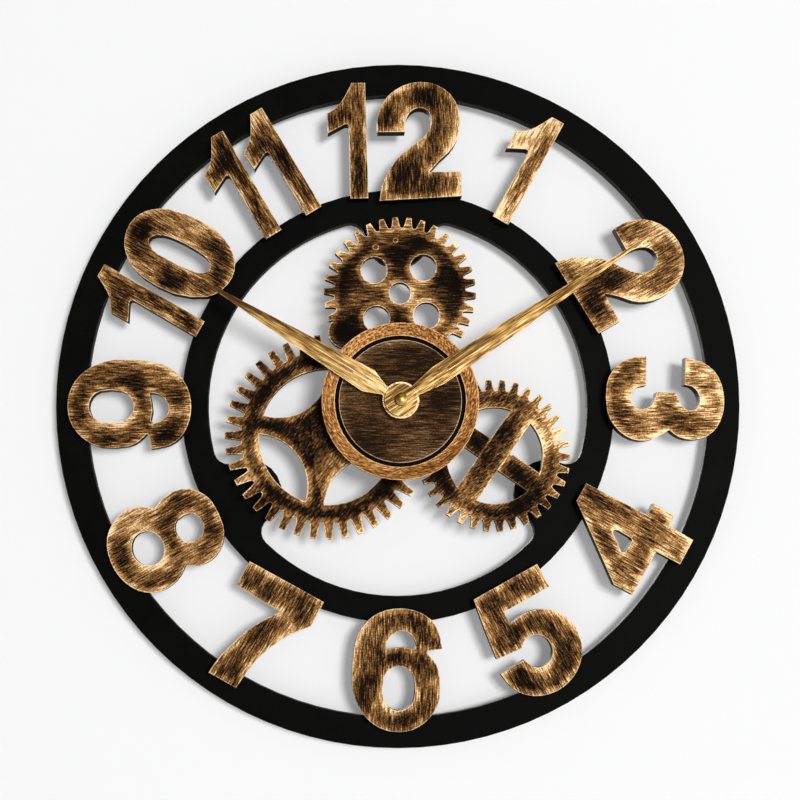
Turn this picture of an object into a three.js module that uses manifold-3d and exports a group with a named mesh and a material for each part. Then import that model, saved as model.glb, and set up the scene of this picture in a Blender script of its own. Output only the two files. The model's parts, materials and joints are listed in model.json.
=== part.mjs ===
// Round open-frame wall clock: two flat rings, cut-out numerals, three toothed plates and a battery
// movement. The clock is drawn facing the reader: x to the right, y up, z out from the wall. The last
// group tips it upright, so that +Z is up and the face looks along -Y. The origin is on the hands'
// axis, where the movement's back meets the wall. All lengths are millimetres.
import * as THREE from 'three';
import { mergeVertices } from 'three/addons/utils/BufferGeometryUtils.js';
import Module from 'manifold-3d';

const wasm = await Module();
wasm.setup();

// Rings
const wallToRings = 6;
const ringDepth = 6;
const outerRingRadius = 225;
const outerRingWidth = 20.5;
const innerRingRadius = 142.5;
const innerRingWidth = 17.8;
const lobeRadius = 21.5;
const lobeDistance = 113;
const lobeFillet = 10;

// Numerals
const numeralHeight = 76.6;
const numeralOverInnerRing = 8;
const numeralOverOuterRing = 6.6;
const numeralDepth = 9;

// Toothed plates: the centre of each, seen from the hands' axis
const plateDepth = 6;
const topPlate = {
  x: 0.5,
  y: 71.7,
  tipRadius: 49.3,
  rootRadius: 42.2,
  toothCount: 34,
  firstTooth: 83,
  shownFrom: -35,
  shownTo: 200,
};
const rightPlate = {
  x: 61.9,
  y: -33.7,
  tipRadius: 49.2,
  rootRadius: 41.9,
  toothCount: 34,
  firstTooth: 94.46,
  shownFrom: -160,
  shownTo: 106,
};
const leftPlate = {
  x: -46.7,
  y: -21.7,
  tipRadius: 66.4,
  rootRadius: 55.2,
  toothCount: 39,
  firstTooth: 114.2,
  shownFrom: 95,
  shownTo: 330,
};
const plateMeetGap = 0.4;
const topPlateCentreHole = 7;
const topPlateHole = 8.6;
const topPlateHoleCircle = 22.5;
const topPlateTab = { x: -35.5, y: 46.5, radius: 10.5 };
const rightPlateRimRadius = 31.3;
const wideBarWidth = 15.2;
const narrowBarWidth = 14;
const barOffset = 0.5;
const narrowBarDrop = 0.6;
const lensOuterRadius = 44.1;
const lensInnerReach = 22.4;
const fold = { headX: -58, headY: -2, bendX: -54.7, bendY: -45, footX: -48.8, footY: -65.7 };
const foldInnerY = -40;
const foldRise = 0.8;

// Posts between the inner ring's lobes and the toothed plates
const postRadius = 4.5;
const postDistances = { top: 107.7, left: 100.8, right: 107 };

// Hub
const carrierRadius = 48;
const carrierDepth = 3.5;
const bossRadius = 35.6;
const plateToBossGap = 0.4;
const drumRadius = 49.5;
const drumDepth = 10;
const hubRimRadius = 50.5;
const hubRimInnerRadius = 42;
const hubFaceRadius = 39.5;
const hubFaceDepth = 3;

// Threaded bush, washer and nut that clamp the hub to the movement
const bushRadius = 4;
const bushBore = 2.9;
const bushClearance = 0.15;
const bushFlangeRadius = 5.6;
const bushFlangeDepth = 1;
const bushProud = 0.6;
const washerRadius = 8.5;
const washerDepth = 0.8;
const nutHalfFlats = 5.6;
const nutDepth = 2.2;

// Hands
const nutToHourHand = 1.2;
const hourHandDepth = 1.5;
const handGap = 1.5;
const minuteHandDepth = 1.2;
const handEdgeDepth = 0.7;
const hourHand = {
  length: 146,
  headRadius: 11.7,
  neckWidth: 6.4,
  neckEnd: 12.8,
  width: 15.4,
  widestAt: 24,
  shoulderWidth: 9.5,
  shoulderAt: 80,
  tipWidth: 0.9,
  clockAngle: 301,
};
const minuteHand = {
  length: 186,
  headRadius: 10.4,
  neckWidth: 7.2,
  neckEnd: 11,
  width: 13,
  widestAt: 28.5,
  shoulderWidth: 10.6,
  shoulderAt: 80,
  tipWidth: 0.9,
  clockAngle: 56.7,
};
const capNutRadius = 4.2;
const capNutSkirt = 1.4;
const capNutHeight = 3.8;
const capNutBoreDepth = 2.6;

// Hand arbors
const arborClearance = 0.1;
const hourTubeRadius = 2.6;
const hourTubeBore = 1.9;
const hourSeatRadius = 2.3;
const minuteArborRadius = 1.6;
const minuteSeatRadius = 1.2;

// Movement housing
const coverDepth = 1.6;
const caseSide = 56;
const caseCorner = 4;
const caseDepth = 15.4;
const caseWall = 1.2;
const partitionTop = -10.4;
const bossPinRadius = 1.4;
const hangerWidth = 18;
const hangerHeight = 11;
const hangerCorner = 5;
const hangerHoleRadius = 4;
const batteryOpeningWidth = 51.5;
const batteryOpeningHeight = 15.5;
const knobHoleRadius = 6.5;

// Battery and its contacts
const batteryRadius = 7.1;
const batteryBodyLength = 49.5;
const batteryNubRadius = 2.7;
const batteryNubLength = 1;
const batteryCentreY = -19;
const batteryCentreZ = 8.2;
const contactSide = 8;
const contactDepth = 0.4;
const contactFoot = 2;

// Wheel work under the hands
const motionModule = 0.4;
const motionDistance = 8;
const motionDirection = 135;
const cannonTeeth = 10;
const cannonBack = 11.6;
const cannonDepth = 1.2;
const cannonCollarRadius = 1.3;
const cannonPivotRadius = 0.9;
const cannonPivotBack = 9.5;
const cannonPivotDepth = 1;
const minuteWheelTeeth = 30;
const minuteWheelDepth = 1;
const minutePinionTeeth = 8;
const minutePinionFront = 15;
const minuteWheelArborRadius = 0.7;
const hourWheelTeeth = 32;
const hourWheelBack = 13.5;
const hourWheelDepth = 1;
const knobRadius = 6;
const knobRootRadius = 5.3;
const knobTeeth = 18;
const knobBack = 0.3;
const knobDepth = 2.1;
const knobBoreDepth = 1.1;

// Going train, from the rotor to the centre wheel
const wheelDepth = 0.8;
const centreWheel = { teeth: 56, module: 0.25, back: 9.6 };
const thirdWheel = { teeth: 45, module: 0.3088, back: 7.8 };
const thirdPinion = { teeth: 7, module: 0.25, back: 8.6, depth: 2.1 };
const thirdDistance = 7.875;
const thirdDirection = 70;
const fourthWheel = { teeth: 40, module: 0.3, back: 5.8 };
const fourthPinion = { teeth: 6, module: 0.3088, back: 6.6, depth: 2.4 };
const intermediateWheel = { teeth: 36, module: 0.28, back: 4.2 };
const intermediatePinion = { teeth: 8, module: 0.3, back: 5, depth: 1.9 };
const intermediateDistance = 7.2;
const rotorPinion = { teeth: 6, module: 0.28, back: 4.1, depth: 1 };
const rotorDistance = 5.88;
const rotorDirection = 20;
const rotorMagnetRadius = 2.2;
const rotorMagnetBack = 5.3;
const rotorMagnetDepth = 2.1;
const pivotRadius = 0.35;
const pivotClearance = 0.1;
const pivotReach = 0.4;
const studRadius = 0.5;

// Plates, coil and circuit of the movement
const bridgeBack = 2.6;
const bridgeDepth = 1;
const trainPlateBack = 10.9;
const trainPlateDepth = 0.5;
const bridgeBox = { left: -14, right: 15, bottom: -9.6, top: 16.2 };
const pillars = { left: -12.6, right: 8.6, bottom: -8.2, top: 14.8 };
const pillarRadius = 1;
const statorPads = { x: 12.7, bottom: -4.6, top: 12 };
const statorPadRadius = 0.9;
const statorBack = 5.6;
const statorDepth = 0.8;
const statorBox = { left: 9.9, right: 15.5, bottom: -6, top: 20 };
const statorArmWidth = 3;
const statorArmReach = 22;
const rotorHoleRadius = 2.5;
const coreBox = { left: 18.5, right: 21.5 };
const coilRadius = 3.4;
const coilInset = 0.5;
const circuitBoard = { left: 16, right: 26, bottom: -8, top: 26, depth: 0.8 };
const crystalRadius = 1;
const crystalLength = 6;
const crystalY = 22;

// How finely round things are faceted
const outerRingFacets = 96;
const innerRingFacets = 72;
const hubFacets = 48;
const edgeFacets = 48;
const smallFacets = 20;
const hiddenFacets = 12;
const tinyFacets = 8;

const filletFacets = 5;
const lobeFacets = 10;
const betweenLobeFacets = 20;
const lensFacets = 12;
const pointsPerSpan = 2;
const domeFacets = 4;
const shortestEdge = 0.01;

// Directions from the hands' axis, counter-clockwise from the right
const lobeDirections = { top: 90, left: 210, right: 330 };
const lensDirections = [124.3, 214.3, 304.3];
const lensHalfAngle = 37;
const wideBarTurn = 55;
const narrowBarTurn = -35;
const topHoleDirections = [47.4, 138.3, 228, 319.8];

// Outlines of the figures, in shares of their height, from the middle of each figure

const zeroShares = {
  outline: [
    rounded(
      [0, 0.491], [-0.139, 0.462], [-0.234, 0.39], [-0.3, 0.284], [-0.334, 0.152],
      [-0.317, -0.139], [-0.192, -0.396], [-0.079, -0.472], [0.059, -0.493], [0.178, -0.449],
      [0.271, -0.343], [0.324, -0.205], [0.337, -0.046], [0.277, 0.271], [0.205, 0.387],
      [0.112, 0.462],
    ),
  ],
  counters: [
    [
      rounded(
        [-0.026, 0.284], [-0.075, 0.244], [-0.099, 0.152], [-0.059, -0.218], [-0.013, -0.281],
        [0.033, -0.291], [0.079, -0.244], [0.099, -0.125], [0.079, 0.139], [0.036, 0.244],
      ),
    ],
  ],
};

const oneShares = {
  outline: [
    straight([-0.046, 0.493], [0.07, 0.493], [0.077, -0.491], [-0.075, -0.491], [-0.073, 0.112]),
    curved([-0.073, 0.112], [-0.083, 0.141], [-0.107, 0.144]),
    straight([-0.107, 0.144], [-0.255, 0.07], [-0.258, 0.238]),
    curved([-0.258, 0.238], [-0.185, 0.284], [-0.125, 0.35], [-0.046, 0.493]),
  ],
  counters: [],
};

const twoShares = {
  outline: [
    straight([-0.358, 0.082], [-0.124, 0.081]),
    curved(
      [-0.124, 0.081], [-0.116, 0.177], [-0.071, 0.256], [0.005, 0.285], [0.074, 0.258],
      [0.103, 0.19], [0.087, 0.107], [0.028, 0.029], [-0.184, -0.133], [-0.322, -0.365],
      [-0.349, -0.503],
    ),
    straight([-0.349, -0.503], [0.355, -0.472], [0.354, -0.263], [0.081, -0.262]),
    curved(
      [0.081, -0.262], [0.17, -0.162], [0.259, -0.083], [0.322, 0.018], [0.349, 0.144],
      [0.333, 0.276], [0.266, 0.398], [0.153, 0.477], [0.008, 0.505], [-0.14, 0.474],
      [-0.264, 0.39], [-0.336, 0.276], [-0.361, 0.17], [-0.358, 0.082],
    ),
  ],
  counters: [],
};

const threeShares = {
  outline: [
    straight([-0.354, 0.168], [-0.119, 0.165]),
    curved(
      [-0.119, 0.165], [-0.107, 0.227], [-0.059, 0.277], [0.013, 0.297], [0.075, 0.275],
      [0.098, 0.219], [0.081, 0.169], [0.026, 0.124], [-0.053, 0.098],
    ),
    straight([-0.053, 0.098], [-0.053, -0.073]),
    curved(
      [-0.053, -0.073], [0.012, -0.087], [0.067, -0.124], [0.091, -0.185], [0.078, -0.254],
      [0.012, -0.292], [-0.054, -0.28], [-0.096, -0.232], [-0.11, -0.161],
    ),
    straight([-0.11, -0.161], [-0.363, -0.161]),
    curved(
      [-0.363, -0.161], [-0.35, -0.268], [-0.308, -0.374], [-0.225, -0.454], [-0.119, -0.497],
      [0.119, -0.489], [0.238, -0.428], [0.324, -0.33], [0.362, -0.215], [0.345, -0.096],
      [0.267, 0.04],
    ),
    curved(
      [0.267, 0.04], [0.326, 0.124], [0.347, 0.234], [0.322, 0.353], [0.239, 0.446],
      [0.125, 0.495], [0, 0.506], [-0.125, 0.482], [-0.238, 0.42], [-0.318, 0.31], [-0.354, 0.168],
    ),
  ],
  counters: [],
};

const fourShares = {
  outline: [
    straight(
      [0.069, 0.515], [0.24, 0.519], [0.267, -0.066], [0.383, -0.066], [0.38, -0.272],
      [0.284, -0.275], [0.281, -0.513], [0.046, -0.52], [0.037, -0.291], [-0.38, -0.3],
      [-0.386, -0.118], [0.069, 0.515],
    ),
  ],
  counters: [
    [
      straight(
        [-0.008, 0.111], [0.016, 0.114], [0.03, 0.085], [0.03, -0.045], [0.017, -0.063],
        [-0.095, -0.063], [-0.116, -0.037], [-0.008, 0.111],
      ),
    ],
  ],
};

const fiveShares = {
  outline: [
    straight([-0.267, 0.513], [0.353, 0.515], [0.35, 0.293], [-0.086, 0.295], [-0.1, 0.174]),
    curved(
      [-0.1, 0.174], [-0.007, 0.194], [0.092, 0.196], [0.198, 0.161], [0.291, 0.094],
      [0.354, -0.003], [0.379, -0.118], [0.363, -0.236], [0.309, -0.349], [0.218, -0.439],
      [0.099, -0.497], [-0.033, -0.513], [-0.165, -0.483], [-0.277, -0.41], [-0.349, -0.301],
      [-0.376, -0.153],
    ),
    straight([-0.376, -0.153], [-0.139, -0.145]),
    curved(
      [-0.139, -0.145], [-0.108, -0.23], [-0.032, -0.272], [0.058, -0.254], [0.114, -0.185],
      [0.119, -0.092], [0.069, -0.016], [-0.008, 0.009], [-0.074, -0.013], [-0.112, -0.05],
    ),
    straight([-0.112, -0.05], [-0.343, -0.029], [-0.312, 0.226], [-0.267, 0.513]),
  ],
  counters: [],
};

const sixShares = {
  outline: [
    curved(
      [0.374, 0.185], [0.354, 0.299], [0.312, 0.395], [0.231, 0.469], [0.127, 0.513],
      [0.013, 0.527], [-0.106, 0.51], [-0.225, 0.452], [-0.314, 0.353], [-0.37, 0.213],
      [-0.388, -0.118], [-0.357, -0.256], [-0.291, -0.376], [-0.201, -0.464], [-0.095, -0.514],
      [0.018, -0.527], [0.132, -0.507], [0.235, -0.445], [0.314, -0.353], [0.359, -0.242],
      [0.351, -0.007], [0.309, 0.081], [0.244, 0.149],
    ),
    straight([0.244, 0.149], [0.262, 0.17], [0.374, 0.185]),
  ],
  counters: [
    [
      curved(
        [-0.103, 0.173], [-0.098, 0.231], [-0.058, 0.297], [0.005, 0.333], [0.071, 0.329],
        [0.132, 0.276], [0.161, 0.202],
      ),
      curved([0.161, 0.202], [0.127, 0.182], [0.053, 0.197], [-0.103, 0.173]),
    ],
    [
      rounded(
        [0.012, 0.037], [-0.066, 0.009], [-0.118, -0.065], [-0.118, -0.25], [-0.066, -0.321],
        [0.012, -0.347], [0.09, -0.321], [0.141, -0.25], [0.141, -0.065], [0.09, 0.009],
      ),
    ],
  ],
};

const sevenShares = {
  outline: [
    straight([-0.364, 0.491], [0.36, 0.507], [0.364, 0.272]),
    curved([0.364, 0.272], [0.213, 0.061], [0.114, -0.193], [0.076, -0.502]),
    straight([0.076, -0.502], [-0.191, -0.505]),
    curved([-0.191, -0.505], [-0.178, -0.351], [-0.101, -0.074], [-0.043, 0.058], [0.076, 0.246]),
    straight([0.076, 0.246], [-0.36, 0.259], [-0.364, 0.491]),
  ],
  counters: [],
};

const eightShares = {
  outline: [
    curved(
      [0.28, 0.04], [0.337, -0.038], [0.37, -0.136], [0.373, -0.236], [0.343, -0.329],
      [0.275, -0.413], [0.166, -0.478], [0.029, -0.506], [-0.116, -0.491], [-0.246, -0.432],
      [-0.333, -0.329], [-0.373, -0.215], [-0.365, -0.11], [-0.328, -0.028], [-0.272, 0.044],
    ),
    curved(
      [-0.272, 0.044], [-0.306, 0.123], [-0.322, 0.215], [-0.306, 0.318], [-0.259, 0.406],
      [-0.177, 0.469], [-0.077, 0.501], [0.135, 0.487], [0.232, 0.44], [0.306, 0.361],
      [0.346, 0.26], [0.338, 0.149], [0.28, 0.04],
    ),
  ],
  counters: [
    [
      rounded(
        [0.016, 0.349], [-0.046, 0.333], [-0.092, 0.287], [-0.092, 0.162], [-0.048, 0.118],
        [0.016, 0.102], [0.078, 0.118], [0.122, 0.162], [0.137, 0.226], [0.122, 0.287],
        [0.078, 0.333],
      ),
    ],
    [
      rounded(
        [0, -0.03], [-0.074, -0.049], [-0.129, -0.1], [-0.149, -0.169], [-0.129, -0.239],
        [-0.074, -0.289], [0, -0.308], [0.074, -0.289], [0.129, -0.239], [0.149, -0.169],
        [0.129, -0.1], [0.074, -0.049],
      ),
    ],
  ],
};

// The 9 is the 6 turned upside down.
const nineShares = {
  outline: sixShares.outline.map(upsideDown),
  counters: sixShares.counters.map((runs) => runs.map(upsideDown)),
};

// Each figure: where it stands on the dial (clockwise from the top), its shift to the side and outward
// in shares of its height, and how far it leans. Figures 4 to 8 have their feet outward.
const figures = [
  placed('numeral_12_one', oneShares, 0, { asideShare: -0.345, outShare: -0.007, lean: 1.2 }),
  placed('numeral_12_two', twoShares, 0, { asideShare: 0.179, outShare: -0.011, lean: 0.8 }),
  placed('numeral_1', oneShares, 30, { asideShare: -0.041, outShare: 0.028, lean: 0.7 }),
  placed('numeral_2', twoShares, 60, { asideShare: -0.024, outShare: -0.001, lean: -0.8 }),
  placed('numeral_3', threeShares, 90, { asideShare: -0.053, outShare: 0.012, lean: -0.8 }),
  placed('numeral_4', fourShares, 120, { asideShare: -0.022, outShare: -0.02, feetOut: true, lean: -0.2 }),
  placed('numeral_5', fiveShares, 150, { asideShare: -0.016, outShare: 0.017, feetOut: true, lean: -0.8 }),
  placed('numeral_6', sixShares, 180, { asideShare: -0.007, outShare: 0.004, feetOut: true, lean: -0.8 }),
  placed('numeral_7', sevenShares, 210, { asideShare: -0.07, outShare: 0.023, feetOut: true, lean: -0.2 }),
  placed('numeral_8', eightShares, 240, { asideShare: -0.004, outShare: 0.035, feetOut: true, lean: -1.2 }),
  placed('numeral_9', nineShares, 270, { asideShare: -0.002, outShare: 0.037 }),
  placed('numeral_10_one', oneShares, 300, { asideShare: -0.286, outShare: 0.021, lean: -0.2 }),
  placed('numeral_10_zero', zeroShares, 300, { asideShare: 0.182, outShare: 0.007, lean: -1.2 }),
  placed('numeral_11_first', oneShares, 330, { asideShare: -0.197, outShare: 0.023, lean: 0.2 }),
  placed('numeral_11_second', oneShares, 330, { asideShare: 0.193, outShare: 0.026, lean: 0.7 }),
];

// Shares of a tooth's pitch and height on the toothed plates
const toothTipShare = 0.36;
const toothFootShare = 0.6;
const toothRoundShare = 0.3;
const gapQuarterShare = 0.11;
const gapQuarterRiseShare = 0.06;

// Shares of the module on the small wheels, whose teeth are plain points
const addendumShare = 0.6;
const dedendumShare = 1.2;

// The figures reach from over the inner ring to over the outer one. Drawn at their own sizes, the inner
// ring and the figures fill an outer ring of this radius. On another one they grow or shrink together
// with the posts and the toothed plates; the hub and the movement keep their size.
const figureRoom = numeralHeight - numeralOverInnerRing - numeralOverOuterRing;
const dialScale = outerRingRadius / (innerRingRadius + figureRoom + outerRingWidth);
const figureInnerEnd = innerRingRadius * dialScale - numeralOverInnerRing;
const figureOuterEnd = outerRingRadius - outerRingWidth + numeralOverOuterRing;
const figureHeight = figureOuterEnd - figureInnerEnd;
const figureDistance = (figureInnerEnd + figureOuterEnd) / 2;

// Heights from the wall, back to front
const ringFront = wallToRings + ringDepth;
const numeralBack = ringFront;
const caseBack = coverDepth;
const caseFront = caseBack + caseDepth;
const caseCeiling = caseFront - caseWall;
const carrierFront = caseFront + carrierDepth;
const plateBack = carrierFront;
const plateFront = plateBack + plateDepth;
const drumFront = plateFront + drumDepth;
const hubFront = drumFront + hubFaceDepth;
const washerFront = hubFront + washerDepth;
const nutFront = washerFront + nutDepth;
const bushFront = nutFront + bushProud;
const hourHandBack = nutFront + nutToHourHand;
const hourHandFront = hourHandBack + hourHandDepth;
const minuteHandBack = hourHandFront + handGap;
const minuteHandFront = minuteHandBack + minuteHandDepth;

// Finishes
const black = { color: 0x14120f, roughness: 0.55, metalness: 0.6 };
const darkBronze = { color: 0x4a2d18, roughness: 0.5, metalness: 0.85 };
const bronze = { color: 0x8a5a30, roughness: 0.45, metalness: 0.9 };
const copper = { color: 0xb8783c, roughness: 0.4, metalness: 0.9 };
const gold = { color: 0xc8964a, roughness: 0.35, metalness: 0.95 };
const brass = { color: 0xc9a04a, roughness: 0.3, metalness: 1 };
const steel = { color: 0xa8a8a8, roughness: 0.35, metalness: 1 };
const copperWire = { color: 0x9a4a20, roughness: 0.4, metalness: 0.7 };
const blackPlastic = { color: 0x18181a, roughness: 0.6, metalness: 0 };
const whitePlastic = { color: 0xe4e2dc, roughness: 0.5, metalness: 0 };
const rubber = { color: 0x202020, roughness: 0.9, metalness: 0 };
const boardGreen = { color: 0x2c5a34, roughness: 0.6, metalness: 0 };
const batterySleeve = { color: 0x55585c, roughness: 0.4, metalness: 0.3 };

const face = new THREE.Group();

// Adds a finished geometry to a group as a named piece.
function addPiece(name, geometry, finish, group = face) {
  const mesh = new THREE.Mesh(geometry, new THREE.MeshStandardMaterial(finish));
  mesh.name = name;
  group.add(mesh);
  return mesh;
}

// Turns a closed geometry into a solid that can be joined and cut.
function toSolid(geometry) {
  const bare = new THREE.BufferGeometry();
  bare.setAttribute('position', geometry.getAttribute('position'));
  bare.setIndex(geometry.index);
  const merged = mergeVertices(bare);
  const corners = [...merged.index.array];
  const kept = [];
  while (corners.length > 0) {
    const triangle = corners.splice(-3);
    if (new Set(triangle).size === 3) {
      kept.push(...triangle);
    }
  }
  const mesh = new wasm.Mesh({
    numProp: 3,
    vertProperties: Float32Array.from(merged.getAttribute('position').array),
    triVerts: Uint32Array.from(kept),
  });
  return new wasm.Manifold(mesh);
}

function toGeometry(solid) {
  const mesh = solid.getMesh();
  const geometry = new THREE.BufferGeometry();
  geometry.setAttribute('position', new THREE.BufferAttribute(mesh.vertProperties, mesh.numProp));
  geometry.setIndex(new THREE.BufferAttribute(mesh.triVerts, 1));
  geometry.computeVertexNormals();
  return geometry;
}

function join(...bodies) {
  const [first, ...others] = bodies.map(toSolid);
  return toGeometry(others.reduce((whole, other) => whole.add(other), first));
}

function cut(body, ...tools) {
  return toGeometry(tools.map(toSolid).reduce((left, tool) => left.subtract(tool), toSolid(body)));
}

function common(first, second) {
  return toGeometry(toSolid(first).intersect(toSolid(second)));
}

// A point at a distance and a direction from the middle, counter-clockwise from the right.
function polar(distance, direction) {
  const angle = THREE.MathUtils.degToRad(direction);
  return new THREE.Vector2(distance * Math.cos(angle), distance * Math.sin(angle));
}

// Points along a round arc, from one direction to another; the turn goes the way the numbers run.
function arc(centre, radius, from, to, count) {
  const points = [];
  for (let step = 0; step <= count; step += 1) {
    points.push(polar(radius, from + ((to - from) * step) / count).add(centre));
  }
  return points;
}

function circle(centre, radius, facets) {
  return arc(centre, radius, 0, 360, facets).slice(0, facets);
}

// The points in the order that goes clockwise, or in the other one.
function ordered(points, clockwise) {
  return THREE.ShapeUtils.isClockWise(points) === clockwise ? points : [...points].reverse();
}

// A flat piece of the given outline, with its back at one height and its front at another.
function slab(outline, back, depth, holes = []) {
  const shape = new THREE.Shape(ordered(outline, false));
  shape.holes = holes.map((hole) => new THREE.Path(ordered(hole, true)));
  const geometry = new THREE.ExtrudeGeometry(shape, { depth, bevelEnabled: false });
  return geometry.translate(0, 0, back);
}

function disc(centre, radius, back, depth, facets) {
  return slab(circle(centre, radius, facets), back, depth);
}

function block(box, back, depth) {
  const geometry = new THREE.BoxGeometry(box.right - box.left, box.top - box.bottom, depth);
  return geometry.translate((box.left + box.right) / 2, (box.bottom + box.top) / 2, back + depth / 2);
}

function boxAround(x, y, width, height) {
  return { left: x - width / 2, right: x + width / 2, bottom: y - height / 2, top: y + height / 2 };
}

// A turned piece: its profile is given as radius and height, counter-clockwise round the section.
function turned(profile, facets) {
  const section = profile.map(([radius, height]) => new THREE.Vector2(radius, height));
  section.push(section[0].clone());
  const geometry = new THREE.LatheGeometry(section, facets);
  return toGeometry(toSolid(geometry.rotateX(Math.PI / 2)));
}

function roundedBox(box, corner, facets) {
  const quarter = facets / 4;
  return [
    ...arc(new THREE.Vector2(box.right - corner, box.top - corner), corner, 0, 90, quarter),
    ...arc(new THREE.Vector2(box.left + corner, box.top - corner), corner, 90, 180, quarter),
    ...arc(new THREE.Vector2(box.left + corner, box.bottom + corner), corner, 180, 270, quarter),
    ...arc(new THREE.Vector2(box.right - corner, box.bottom + corner), corner, 270, 360, quarter),
  ];
}

const axis = new THREE.Vector2();

// Rings

function makeOuterRing() {
  const outside = circle(axis, outerRingRadius, outerRingFacets);
  const inside = circle(axis, outerRingRadius - outerRingWidth, outerRingFacets);
  addPiece('outer_ring', slab(outside, wallToRings, ringDepth, [inside]), black);
}

// The inner edge runs round the ring and swells inward, over two fillets, into three round lobes.
function makeInnerRing() {
  const innerRadius = innerRingRadius - innerRingWidth;
  const filletDistance = innerRadius - lobeFillet;
  const reach = lobeRadius + lobeFillet;
  const squares = lobeDistance ** 2 + filletDistance ** 2 - reach ** 2;
  const spread = THREE.MathUtils.radToDeg(Math.acos(squares / (2 * lobeDistance * filletDistance)));
  const inside = [];
  for (const lobe of Object.values(lobeDirections)) {
    const centre = polar(lobeDistance, lobe);
    const before = polar(filletDistance, lobe - spread);
    const after = polar(filletDistance, lobe + spread);
    const heading = THREE.MathUtils.radToDeg(centre.clone().sub(before).angle());
    const turn = THREE.MathUtils.euclideanModulo(heading - lobe, 360);
    inside.push(...arc(before, lobeFillet, lobe - spread, lobe + turn, filletFacets));
    const round = arc(centre, lobeRadius, lobe + 180 + turn, lobe + 180 - turn, lobeFacets);
    inside.push(...round.slice(1, -1));
    inside.push(...arc(after, lobeFillet, lobe - turn, lobe + spread, filletFacets));
    const plain = arc(axis, innerRadius, lobe + spread, lobe + 120 - spread, betweenLobeFacets);
    inside.push(...plain.slice(1, -1));
  }
  const outside = circle(axis, innerRingRadius, innerRingFacets);
  const ring = slab(outside, wallToRings, ringDepth, [inside]);
  addPiece('inner_ring', ring.scale(dialScale, dialScale, 1), black);
}

// Numerals

function toPoint([x, y]) {
  return new THREE.Vector3(x, y, 0);
}

function straight(...shares) {
  return shares.map(toPoint);
}

function curved(...shares) {
  const curve = new THREE.CatmullRomCurve3(shares.map(toPoint));
  return curve.getPoints((shares.length - 1) * pointsPerSpan);
}

function rounded(...shares) {
  const curve = new THREE.CatmullRomCurve3(shares.map(toPoint), true);
  return curve.getPoints(shares.length * pointsPerSpan);
}

function upsideDown(run) {
  return run.map((share) => share.clone().negate());
}

// One closed outline in millimetres: the runs follow each other, and a point shared by two is kept once.
function outlineOf(runs) {
  const shares = runs.flat();
  const points = shares.map(({ x, y }) => new THREE.Vector2(x, y).multiplyScalar(figureHeight));
  return points.filter((point, index) => point.distanceTo(points.at(index - 1)) > shortestEdge);
}

function placed(name, shares, dial, shifts) {
  return { name, shares, dial, feetOut: false, lean: 0, ...shifts };
}

function makeNumeral(figure) {
  const holes = figure.shares.counters.map(outlineOf);
  const geometry = slab(outlineOf(figure.shares.outline), numeralBack, numeralDepth, holes);
  const place = new THREE.Group();
  place.rotation.z = THREE.MathUtils.degToRad(figure.feetOut ? 180 - figure.dial : -figure.dial);
  const mesh = addPiece(figure.name, geometry, darkBronze, place);
  const outward = figureDistance + figure.outShare * figureHeight;
  mesh.position.set(figure.asideShare * figureHeight, figure.feetOut ? -outward : outward, 0);
  mesh.rotation.z = THREE.MathUtils.degToRad(figure.lean);
  face.add(place);
}

// Toothed plates

// Straight teeth that narrow outward, with rounded gaps; where none show, the edge is plain.
function toothedOutline(plate) {
  const pitch = 360 / plate.toothCount;
  const height = plate.tipRadius - plate.rootRadius;
  const points = [];
  for (let tooth = 0; tooth < plate.toothCount; tooth += 1) {
    const middle = plate.firstTooth + tooth * pitch;
    const place = THREE.MathUtils.euclideanModulo(middle - plate.shownFrom, 360);
    const isShown = place <= plate.shownTo - plate.shownFrom;
    const foot = (toothFootShare * pitch) / 2;
    const tip = (toothTipShare * pitch) / 2;
    const quarter = pitch / 2 - gapQuarterShare * pitch;
    const footRadius = plate.rootRadius + toothRoundShare * height;
    const quarterRadius = plate.rootRadius + gapQuarterRiseShare * height;
    const profile = isShown
      ? [[-quarter, quarterRadius], [-foot, footRadius], [-tip, plate.tipRadius]]
      : [[-quarter, plate.rootRadius], [-foot, plate.rootRadius]];
    const mirrored = profile.map(([turn, radius]) => [-turn, radius]).reverse();
    for (const [turn, radius] of [...profile, ...mirrored]) {
      points.push(polar(radius, middle + turn));
    }
  }
  return points;
}

function placeOf(plate) {
  return new THREE.Vector2(plate.x, plate.y);
}

// The plates share one height, so each is cut back round the hub's boss, and the top and right plates
// also where they meet the left one. What rises above the plates stops short of the hub drum.
function seatPlate(geometry, plate, meets) {
  const bossClearance = bossRadius + plateToBossGap;
  const depth = plateDepth + foldRise;
  const moved = geometry.translate(plate.x, plate.y, 0).scale(dialScale, dialScale, 1);
  const tools = [
    disc(axis, bossClearance, plateBack - depth, depth * 3, edgeFacets),
    disc(axis, drumRadius + plateToBossGap, plateFront, depth, edgeFacets),
  ];
  if (meets) {
    const meetPlace = placeOf(meets).multiplyScalar(dialScale);
    const meetRadius = (meets.rootRadius + plateMeetGap) * dialScale;
    tools.push(disc(meetPlace, meetRadius, plateBack - depth, depth * 3, edgeFacets));
  }
  return cut(moved, ...tools);
}

function makeTopPlate() {
  const hole = circle(axis, topPlateCentreHole, smallFacets);
  const places = topHoleDirections.map((direction) => polar(topPlateHoleCircle, direction));
  const holes = places.map((place) => circle(place, topPlateHole, smallFacets));
  const web = slab(toothedOutline(topPlate), plateBack, plateDepth, [hole, ...holes]);
  const tabPlace = new THREE.Vector2(topPlateTab.x, topPlateTab.y).sub(placeOf(topPlate));
  const tab = disc(tabPlace, topPlateTab.radius, plateBack, plateDepth, smallFacets);
  addPiece('top_gear_plate', seatPlate(join(web, tab), topPlate, leftPlate), bronze);
}

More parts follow.
